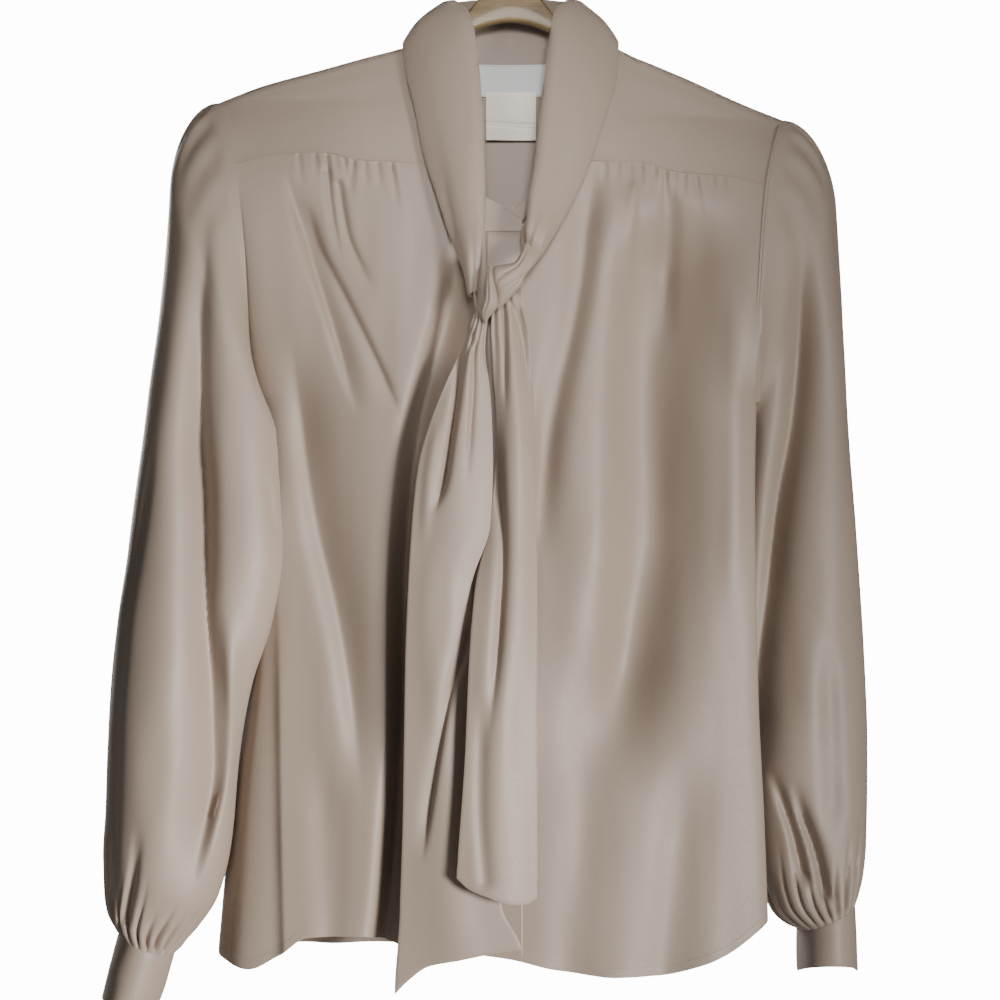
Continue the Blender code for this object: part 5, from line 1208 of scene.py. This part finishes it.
# the knot: the band that wraps across it, the loop that hangs over the band, and a thin strand beside it;
# each row gives both edges of the cloth as seen from the front, and how far it bulges
knot = {
    "steps": 70, "around": 64, "squareness": 0.8,
    "strands": (
        dict(rows=table("ax az bx bz y deep",
                        (14, -265, 27, -275, -51, 3), (8.5, -279, 19, -288, -60.5, 4.5),
                        (2.5, -288.5, 10.5, -299, -63, 6.5),
                        (-3, -289.5, 8.5, -305, -63.5, 7.5), (-7.5, -290, 3, -311, -63.5, 8),
                        (-11.5, -291, -1.5, -316, -63, 8), (-13.5, -294, -5, -319.5, -62.5, 7),
                        (-13, -303, -8.8, -322, -61.5, 4)),
             creases=((0.32, 1.5, 0.05, 0.15), (0.62, 0.9, 0.06, -0.2), (0.85, 0.8, 0.05, 0.1))),
        dict(rows=table("ax az bx bz y deep",
                        (-15.6, -292.6, -14, -291, -64.5, 2), (-17, -295.5, -12.8, -295.5, -66, 5),
                        (-17.8, -301.5, -11.8, -303, -67, 6.5), (-18.4, -308, -10, -309.5, -67.5, 7.5),
                        (-19.2, -315.5, -9, -316.2, -67.5, 8), (-21, -320, -9.3, -320.7, -67, 8),
                        (-22, -323.7, -11.8, -324.8, -66, 7), (-21, -328, -15.5, -328.8, -64.5, 5),
                        (-19.2, -332.5, -18, -333.3, -63, 1.5)),
             creases=((0.30, 0.9, 0.07, 0.1), (0.68, 0.7, 0.06, -0.12))),
        dict(rows=table("ax az bx bz y deep",
                        (-26.8, -309.5, -26, -309, -61, 1), (-26.8, -314, -24.4, -316, -61.5, 3),
                        (-26.3, -320, -22.6, -322, -62, 4), (-24, -325, -21, -326.6, -62, 3.5),
                        (-20.7, -330.3, -19.3, -331, -61.5, 1.5)),
             creases=((0.5, 0.5, 0.1, 0.0),)),
    ),
}


def knotStrand(strand):
    # rings round one strand: across it from edge a to edge b, and forwards and back by its depth
    rows, steps, around = strand["rows"], knot["steps"], knot["around"]
    index = np.arange(len(rows["ax"]))
    at = np.linspace(0, index[-1], steps)
    column = {name: smooth(index, rows[name], at) for name in rows}
    edgeA = np.stack([column["ax"], column["y"], column["az"]], axis=1)
    edgeB = np.stack([column["bx"], column["y"], column["bz"]], axis=1)
    middle, half = (edgeA + edgeB) / 2, (edgeB - edgeA) / 2
    turn = np.arange(around) * 2 * math.pi / around
    c, v = np.cos(turn)[None, :], np.sin(turn)[None, :]
    across = np.sign(c) * np.abs(c) ** knot["squareness"]
    bulge = np.sign(v) * np.abs(v) ** knot["squareness"] * column["deep"][:, None]
    along = np.linspace(0, 1, steps)[:, None]
    for place, depth, width, run in strand["creases"]:
        off = (1 + across) / 2 - place - run * (along - 0.5)
        bulge = bulge - depth * np.exp(-(off / width) ** 2) * (v > 0) * np.sin(math.pi * along)
    grid = middle[:, None] + half[:, None] * across[..., None]
    grid[..., 1] -= bulge
    caps = [np.broadcast_to(middle[k], (1, around, 3)) for k in (0, -1)]
    return np.concatenate([caps[0], grid, caps[1]])


def buildKnot():
    made = [closedTube(f"knotStrand{number}", knotStrand(strand), cloth)
            for number, strand in enumerate(knot["strands"])]
    verts, faces, uvs = [], [], []
    for part in made:
        mesh = part.data
        start = len(verts)
        verts += [v.co * 1000.0 for v in mesh.vertices]
        faces += [[start + i for i in face.vertices] for face in mesh.polygons]
        uvs += [tuple(loop.uv) for loop in mesh.uv_layers["cloth"].data]
        bpy.data.objects.remove(part)
        bpy.data.meshes.remove(mesh)
    obj = meshObject("knot_cloth", verts, faces, uvs, cloth)
    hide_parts("knot")
    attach(obj, "root")


def closedTube(name, rings, material, sharp=50):
    # a closed skin over rings of points whose first and last ring are single points
    rows, cols = rings.shape[:2]
    points = np.concatenate([rings[:1, 0], rings[1:-1].reshape(-1, 3), rings[-1:, 0]])
    faces, uvs = [], []
    arcs = arcLengths(rings, True)

    def number(r, c):
        return 0 if r == 0 else len(points) - 1 if r == rows - 1 else 1 + (r - 1) * cols + c % cols

    for r in range(rows - 1):
        for c in range(cols):
            corners = [(r, c), (r + 1, c), (r + 1, c + 1), (r, c + 1)]
            kept = []
            for corner in corners:
                if number(*corner) not in [number(*k) for k in kept]:
                    kept.append(corner)
            faces.append([number(*k) for k in kept])
            uvs += [arcs[k] for k in kept]
    obj = meshObject(name, points, faces, uvs, material, sharp)
    return outwardFaces(obj)


def outwardFaces(obj):
    mesh = obj.data
    mesh.calc_loop_triangles()
    volume = 0.0
    for triangle in mesh.loop_triangles:
        a, b, c = (mesh.vertices[i].co for i in triangle.vertices)
        volume += a.dot(b.cross(c))
    if volume < 0:
        mesh.flip_normals()
    return obj


collarGrid = buildCollar()
buildKnot()
buildTie("tie_end_right_cloth", tieRight)
buildTie("tie_end_left_cloth", tieLeft)
print("collar, knot and tie ends are made")


# Front closing: band, buttonholes, buttons, and the two neck tabs

band = {
    "left": -17.5, "right": 9.5, "top": -263.0, "low": -799.0, "room": 0.4,
    "thickness": 1.0, "cells": (34, 200), "stitchInset": 1.8,
    "buttonLevels": (-352.0, -442.0, -532.0, -622.0, -712.0),
    "buttonholeHalf": (7.2, 1.1),
}
button = {
    "radius": 5.5, "thickness": 2.4, "segments": 40, "holeOffset": 1.25,
    "profile": ((0, 0), (0.9, 0), (1, 0.25), (1, 0.55), (0.93, 0.86), (0.82, 1),        # shares of both
                (0.72, 0.93), (0.62, 0.68), (0.45, 0.6), (0, 0.6)),
}
neckTabs = (
    dict(name="neck_tab_right", start=-30.0, end=9.0, startTop=-230.0, endTop=-252.0,
         foot=(-262.0, -262.5), lift=0.5),
    dict(name="neck_tab_left", start=2.0, end=30.0, startTop=-243.0, endTop=-229.0, foot=None, lift=4.0),
)
tabShape = {
    "cells": (60, 26), "thickness": 1.1, "leastHeight": 3.0,
    "above": 2.2,               # how far above the neckline a tab without a foot starts
    "before": 1.8,              # how far a foot lies before the front
    "lean": 2.0, "stitchInset": 1.6,
}


def buildBand():
    cols, rows = band["cells"]
    x, z = np.meshgrid(np.linspace(band["left"], band["right"], cols),
                       np.linspace(band["top"], band["low"], rows))
    y = np.minimum(bodyY(x, z, -1, -1), bodyY(x, z, 1, -1)) - band["room"]
    y = y - 0.35 * (1 + softNoise(x / 16, z / 70, 111))
    grid = np.stack([x, y, z], axis=2)
    thick = np.outer(rimmed(rows, 1), rimmed(cols, 1.5))[..., None] * band["thickness"]
    forward = np.array([0.0, -1.0, 0.0])
    obj = shell("front_band_cloth", grid + forward * thick, grid, cloth)
    clothPiece(obj, ["front_band"])
    return grid + forward * thick


def ovalRing(x, z, face, halfLong, halfWide):
    turn = np.linspace(0, 2 * math.pi, 60)
    aside = np.sign(np.cos(turn)) * np.abs(np.cos(turn)) ** 0.7
    return np.stack([x + halfWide * aside, np.full(60, face), z + halfLong * np.sin(turn)], axis=1)


def buttonMaterial():
    material, tree, shader = newMaterial("pearlyButton")
    tone = useGroup(tree, uneven, Scale=260.0, Fine_Scale=900.0)
    colour = mixColour(tree, tone.outputs["Slow"], (0.40, 0.33, 0.27), (0.56, 0.48, 0.41))
    tree.links.new(colour, shader.inputs["Base Color"])
    tree.links.new(spreadOut(tree, tone.outputs["Fine"], 0.3, 0.7, 0.16, 0.3), shader.inputs["Roughness"])
    shader.inputs["Coat Weight"].default_value = 0.4
    return material


pearl = buttonMaterial()


def buildButton(name, node, centre, axis):
    r, t = button["radius"], button["thickness"]
    profile = [(r * across, t * up) for across, up in button["profile"]]
    verts, faces = lathe(profile, centre, axis, button["segments"])
    obj = outwardFaces(meshObject(name, verts, faces, None, pearl, 40))
    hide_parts(node)
    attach(obj, "root")
    axis = np.array(axis, float)
    top = np.array(centre) + axis * (t * 0.6 + 0.15)
    half = button["holeOffset"]
    return [np.array([top + (sx * half, 0, -half), top + (sx * half, 0, half)]) for sx in (-1, 1)]


def buildClosing():
    face = buildBand()
    middle = (band["left"] + band["right"]) / 2
    lines, threads, holes = [], [], []
    for x in (band["left"] + band["stitchInset"], band["right"] - band["stitchInset"]):
        column = int(np.argmin(np.abs(face[0, :, 0] - x)))
        lines.append(face[2:-2, column] + np.array([0.0, -0.12, 0.0]))
    for number, z in enumerate(band["buttonLevels"], 1):
        row = int(np.argmin(np.abs(face[:, 0, 2] - z)))
        y = face[row, face.shape[1] // 2, 1]
        name = f"button_{number}"
        threads += buildButton(name + "_pearl", name, (middle, y - 0.1, z), (0, -1, 0))
        halfLong, halfWide = band["buttonholeHalf"]
        holes += [ovalRing(middle, z, y - 0.15, halfLong * k, halfWide * (2 - 1 / k)) for k in (1.0, 1.06)]
    sewLines("front_band_stitches", lines, clothStitches)
    sewLines("buttonhole_stitches", holes, clothStitches, length=0.62, thickness=0.5)
    return threads


def buildTab(tab):
    cols, rows = tabShape["cells"]
    along = np.linspace(0, 1, cols)
    x = np.linspace(tab["start"], tab["end"], cols)
    low = necklineZ(x) + tabShape["above"]
    if tab["foot"]:         # its foot lies over the front, straight across
        low = np.minimum(low, tab["foot"][0] + (tab["foot"][1] - tab["foot"][0]) * along)
    high = tab["startTop"] + (tab["endTop"] - tab["startTop"]) * along
    high = np.maximum(high, low + tabShape["leastHeight"])
    t = np.linspace(0, 1, rows)[:, None]
    z = low + (high - low) * t
    y = float(bodyY(0.0, body["neckFrontZ"], 1, -1)) + tab["lift"] + tabShape["lean"] * t
    y = y + 0.5 * softNoise(x[None, :] / 12, z / 14, 121)
    if tab["foot"]:
        y = np.minimum(y, bodyY(x[None, :], z, 1, -1) - tabShape["before"])
    grid = np.stack(np.broadcast_arrays(x[None, :], y, z), axis=2).copy()
    obj = shell(tab["name"] + "_cloth", grid, grid + np.array([0.0, tabShape["thickness"], 0.0]), cloth)
    clothPiece(obj, [tab["name"]])
    return edgeLine(grid, tabShape["stitchInset"], "bottom", 0.12, (0, -1, 0))


buttonThreads = buildClosing()
tabLines = [buildTab(tab) for tab in neckTabs]
for grid, shape, name in ((cuffGridRight, sleeveRight, "right"), (cuffGridLeft, sleeveLeft, "left")):
    ring = grid[grid.shape[0] // 2]
    place = ring[sleeveShape["around"] * 3 // 4]
    buttonThreads += buildButton(f"cuff_button_{name}_pearl", f"cuff_button_{name}",
                                 (place[0], ring[:, 1].max() + 0.4, place[2]), (0, 1, 0))
sewLines("button_threads", buttonThreads, clothStitches, length=1.3, thickness=0.5)
sewLines("neck_tab_stitches", tabLines, clothStitches)
collarSeam = collarGrid[collarGrid.shape[0] // 2, 1:collar["across"] // 3] + np.array([-1.5, -1.0, 0.0])
sewLines("collar_seam_stitches", [collarSeam], clothStitches)
hemLines = [edgeLine(rightGrid, hem["depth"], "bottom", 0.1, (0, -1, 0)),
            edgeLine(leftGrid, hem["depth"], "bottom", 0.1, (0, -1, 0)),
            edgeLine(backGrid, hem["depth"], "bottom", 0.1, (0, 1, 0))]
sewLines("hem_stitches", hemLines, clothStitches, length=2.4)
print("closing and stitches are made")


# Labels in the back neck: both bare

neckLabel = {
    "left": -30.0, "right": 32.0, "top": -129.4, "low": -154.0, "cells": (80, 34),
    "thickness": 0.6, "room": 2.3, "unevenness": 0.25, "stitchInset": 1.2,
}
careLabel = {
    "left": -18.0, "right": 20.0, "top": -151.0, "low": -188.0, "cells": (50, 50),
    "thickness": 0.35, "room": 4.0, "leaning": 4.0, "wave": 1.2,
    "crease": {"z": -175.5, "slope": 0.06, "depth": 0.9, "width": 1.6},
}


def labelMaterial(name, dark, light, roughness, bump, threads):
    material, tree, shader = newMaterial(name)
    weave = useGroup(tree, crepe, Pebbles=2600.0, Threads=threads)
    tone = useGroup(tree, uneven, Scale=40.0, Fine_Scale=700.0)
    tree.links.new(mixColour(tree, tone.outputs["Slow"], dark, light), shader.inputs["Base Color"])
    tree.links.new(spreadOut(tree, tone.outputs["Fine"], 0.3, 0.7, *roughness), shader.inputs["Roughness"])
    shader.inputs["Sheen Weight"].default_value = 0.2
    addBump(tree, shader, weave.outputs["Height"], bump, 0.0004)
    return material


def labelPlane(label):
    return np.meshgrid(np.linspace(label["left"], label["right"], label["cells"][0]),
                       np.linspace(label["top"], label["low"], label["cells"][1]))


def labelPiece(name, node, label, grid, material):
    obj = shell(name, grid - np.array([0.0, label["thickness"], 0.0]), grid, material)
    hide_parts(node)
    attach(obj, "root")


def buildLabels():
    woven = labelMaterial("wovenLabel", (0.66, 0.68, 0.66), (0.78, 0.80, 0.78), (0.5, 0.62), 0.5, 1500.0)
    satin = labelMaterial("satinLabel", (0.78, 0.70, 0.58), (0.92, 0.86, 0.76), (0.28, 0.42), 0.25, 2200.0)
    x, z = labelPlane(neckLabel)
    y = bodyY(x, z, 1, 1) - neckLabel["room"] + neckLabel["unevenness"] * softNoise(x / 11, z / 9, 131)
    grid = np.stack([x, y, z], axis=2)
    labelPiece("neck_label_woven", "neck_label", neckLabel, grid, woven)
    lines = [edgeLine(grid, neckLabel["stitchInset"], side, 0.7, (0, -1, 0))
             for side in ("top", "bottom", "left", "right")]
    sewLines("neck_label_stitches", lines, clothStitches, length=1.6, thickness=0.3)
    x, z = labelPlane(careLabel)
    down = (careLabel["top"] - z) / (careLabel["top"] - careLabel["low"])
    y = bodyY(x, np.full_like(z, careLabel["top"]), 1, 1) - careLabel["room"]
    y = y - careLabel["leaning"] * down ** 1.3 + careLabel["wave"] * np.sin(x / 9.0) * down
    crease = careLabel["crease"]
    off = (z - crease["z"] + crease["slope"] * x) / crease["width"]
    y = y - crease["depth"] * np.exp(-off ** 2)
    grid = np.stack([x, y, z], axis=2)
    labelPiece("care_label_satin", "care_label", careLabel, grid, satin)


buildLabels()


# Hanger: a flat wooden bar with rounded edges, and its wire hook

hanger = {
    "tips": (-202.0, 190.0), "halfThick": 5.0, "seat": 1.0, "stations": 200, "corner": 3.2,
    "height": table("x height",
                    (-202, 7.5), (-160, 13), (-100, 17), (-66, 14), (66, 14), (100, 16), (190, 7.5)),
    "hump": table("x top low",
                  (-66, -120.5, -133), (-56, -118.5, -128), (-44, -109, -118), (-32, -94, -110),
                  (-18, -78, -104), (0, -68, -101), (18, -78, -104), (32, -94, -110),
                  (44, -109, -119), (56, -117.8, -129), (66, -119.5, -133)),
    "hookRadius": 22.0, "wireRadius": 2.0, "wireFootZ": -84.0, "wireSteps": 200, "wireAround": 20,
}


def woodMaterial():
    material, tree, shader = newMaterial("hangerWood")
    place = tree.nodes.new("ShaderNodeTexCoord").outputs["Object"]
    rings = noiseNode(tree, stretched(tree, place, (0.10, 1.0, 1.0)), 130.0, 3.0, 0.6)
    pores = noiseNode(tree, stretched(tree, place, (0.05, 1.0, 1.0)), 900.0, 2.0, 0.7)
    tone = useGroup(tree, uneven, Scale=14.0, Fine_Scale=300.0)
    mixed = mathNode(tree, "ADD", mathNode(tree, "MULTIPLY", rings, 0.75),
                     mathNode(tree, "MULTIPLY", pores, 0.35))
    grain = spreadOut(tree, mixed, 0.38, 0.72, 0.0, 1.0)
    colour = mixColour(tree, grain, (0.155, 0.098, 0.038), (0.30, 0.205, 0.09))
    tree.links.new(colour, shader.inputs["Base Color"])
    tree.links.new(spreadOut(tree, tone.outputs["Fine"], 0.3, 0.7, 0.48, 0.62), shader.inputs["Roughness"])
    shader.inputs["Coat Weight"].default_value = 0.04
    addBump(tree, shader, pores, 0.15, 0.0004)
    return material


def steelMaterial():
    material, tree, shader = newMaterial("hookSteel")
    tone = useGroup(tree, uneven, Scale=120.0, Fine_Scale=1800.0)
    colour = mixColour(tree, tone.outputs["Slow"], (0.52, 0.52, 0.53), (0.66, 0.66, 0.67))
    tree.links.new(colour, shader.inputs["Base Color"])
    tree.links.new(spreadOut(tree, tone.outputs["Fine"], 0.3, 0.7, 0.16, 0.30), shader.inputs["Roughness"])
    shader.inputs["Metallic"].default_value = 1.0
    return material


def barLevels(x):
    inside = np.abs(x) < body["neckHalf"]
    top = np.where(inside, read(hanger["hump"], "top", "x", x), ridgeZ(x) - 1.5 - hanger["seat"])
    barLow = top - read(hanger["height"], "height", "x", x)
    low = np.where(inside, read(hanger["hump"], "low", "x", x), barLow)
    return top, low


def buildHanger():
    x = np.linspace(*hanger["tips"], hanger["stations"])
    top, low = barLevels(x)
    half = np.minimum(hanger["halfThick"], (top - low) / 2 - 0.2)
    corner = np.minimum(half, hanger["corner"])
    turn = np.linspace(0, math.pi / 2, 7)
    section = [(1, 1, a) for a in turn] + [(-1, 1, a) for a in turn[::-1]]
    section += [(-1, -1, a) for a in turn] + [(1, -1, a) for a in turn[::-1]]
    rings = []
    for sideY, sideZ, a in section:
        y = sideY * (half - corner + corner * math.cos(a))
        edge = top if sideZ > 0 else low
        z = edge - sideZ * corner * (1 - math.sin(a))
        rings.append(np.stack([x, y, z], axis=1))
    grid = np.array(rings).transpose(1, 0, 2)
    ends = [np.broadcast_to(grid[k].mean(axis=0) + (shift, 0, 0), (1,) + grid[k].shape)
            for k, shift in ((0, -1.0), (-1, 1.0))]
    bar = closedTube("hanger_bar_wood", np.concatenate([ends[0], grid, ends[1]]), woodMaterial(), 60)
    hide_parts("hanger_bar")
    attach(bar, "root")
    middleZ = -hanger["hookRadius"] + hanger["wireRadius"]
    line = [(0.0, z) for z in (hanger["wireFootZ"], -76.0, -68.0, -62.0, -58.0)]
    line += [(-1.2, -55.0), (-2.6, -51.5), (-2.2, -48.0), (-0.4, -45.5)]
    for a in np.radians(np.linspace(-84, 196, 60)):
        line.append((hanger["hookRadius"] * math.cos(a), middleZ + hanger["hookRadius"] * math.sin(a)))
    line = np.array(line)
    arc = np.concatenate([[0], np.cumsum(np.linalg.norm(np.diff(line, axis=0), axis=1))])
    steps, around = hanger["wireSteps"], hanger["wireAround"]
    at = np.linspace(0, arc[-1], steps)
    line = np.stack([smooth(arc, line[:, 0], at), np.zeros(steps), smooth(arc, line[:, 1], at)], axis=1)
    along = np.gradient(line, axis=0)
    along /= np.linalg.norm(along, axis=1, keepdims=True)
    aside = np.cross(along, [0.0, 1.0, 0.0])
    turn = np.arange(around)[None, :] * 2 * math.pi / around
    fromEnd = np.clip((at[-1] - at + 0.05) / 1.6, 0, 1)         # the wire's end is rounded
    radius = hanger["wireRadius"] * np.sqrt(1 - (1 - fromEnd) ** 2)[:, None]
    grid = line[:, None] + aside[:, None] * (radius * np.cos(turn))[..., None]
    grid = grid + np.array([0.0, 1.0, 0.0]) * (radius * np.sin(turn))[..., None]
    ends = [np.broadcast_to(line[k], (1, around, 3)) for k in (0, -1)]
    hook = closedTube("hanger_hook_steel", np.concatenate([ends[0], grid, ends[1]]), steelMaterial(), 60)
    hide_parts("hanger_hook")
    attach(hook, "root")


buildHanger()
print("labels and hanger are made")


# Floor, light and camera

studio = {
    "floorZ": -1.12, "floorRadius": 1.25, "floorSides": 96,
    "lights": {         # place, aim, size, power and spread in degrees
        "key": ((1.35, -1.66, -0.74), (-0.40, 0.0, -0.67), 0.65, 5.2, 38.0),
        "fill": ((-0.65, -2.2, -0.5), (-0.1, 0.0, -0.5), 1.0, 1.5, 180.0),
        "neck": ((0.06, -1.7, -0.02), (0.0, 0.0, -0.19), 0.35, 0.42, 20.0),
        "behind": ((-1.2, 2.1, 0.0), (0.0, 0.0, -0.5), 1.0, 30.0, 150.0),
        "top": ((0.1, -0.5, 1.2), (0.0, 0.0, -0.4), 1.2, 0.7, 180.0),
    },
    "world": 0.085, "seen": 14.0,       # the surroundings' light, and how bright the camera sees them
    "camera": (-0.0074, -1.940, -0.462), "lens": 92.4,
}


def buildStudio():
    points = [(studio["floorRadius"] * math.cos(a), studio["floorRadius"] * math.sin(a), studio["floorZ"])
              for a in np.linspace(0, 2 * math.pi, studio["floorSides"], endpoint=False)]
    mesh = bpy.data.meshes.new("floor")
    mesh.from_pydata(points, [], [list(range(studio["floorSides"]))])
    material, _, shader = newMaterial("paleFloor")
    shader.inputs["Base Color"].default_value = (0.8, 0.8, 0.79, 1.0)
    shader.inputs["Roughness"].default_value = 0.8
    mesh.materials.append(material)
    floor = bpy.data.objects.new("floor", mesh)
    bpy.context.scene.collection.objects.link(floor)
    for name, (place, aim, size, power, spread) in studio["lights"].items():
        light = bpy.data.lights.new(name, "AREA")
        light.shape, light.size, light.energy, light.spread = "DISK", size, power, math.radians(spread)
        obj = bpy.data.objects.new(name, light)
        obj.location = place
        obj.visible_camera = False
        obj.rotation_mode = "QUATERNION"
        obj.rotation_quaternion = (Vector(aim) - Vector(place)).to_track_quat("-Z", "Y")
        bpy.context.scene.collection.objects.link(obj)
    world = bpy.data.worlds.new("studio")
    bpy.context.scene.world = world
    world.use_nodes = True
    tree = world.node_tree
    back = tree.nodes["Background"]
    back.inputs["Color"].default_value = (1.0, 1.0, 1.0, 1.0)
    back.inputs["Strength"].default_value = studio["world"]
    seen = tree.nodes.new("ShaderNodeBackground")
    seen.inputs["Color"].default_value = (1.0, 1.0, 1.0, 1.0)
    seen.inputs["Strength"].default_value = studio["seen"]
    mix, path = tree.nodes.new("ShaderNodeMixShader"), tree.nodes.new("ShaderNodeLightPath")
    tree.links.new(path.outputs["Is Camera Ray"], mix.inputs["Fac"])
    tree.links.new(back.outputs[0], mix.inputs[1])
    tree.links.new(seen.outputs[0], mix.inputs[2])
    tree.links.new(mix.outputs[0], tree.nodes["World Output"].inputs["Surface"])
    camera = bpy.data.cameras.new("camera")
    camera.sensor_width, camera.lens = 36.0, studio["lens"]
    camera.clip_start, camera.clip_end = 0.05, 20.0
    eye = bpy.data.objects.new("camera", camera)
    eye.location = studio["camera"]
    eye.rotation_euler = (math.pi / 2, 0.0, 0.0)
    bpy.context.scene.collection.objects.link(eye)
    bpy.context.scene.camera = eye


buildStudio()
print("done")
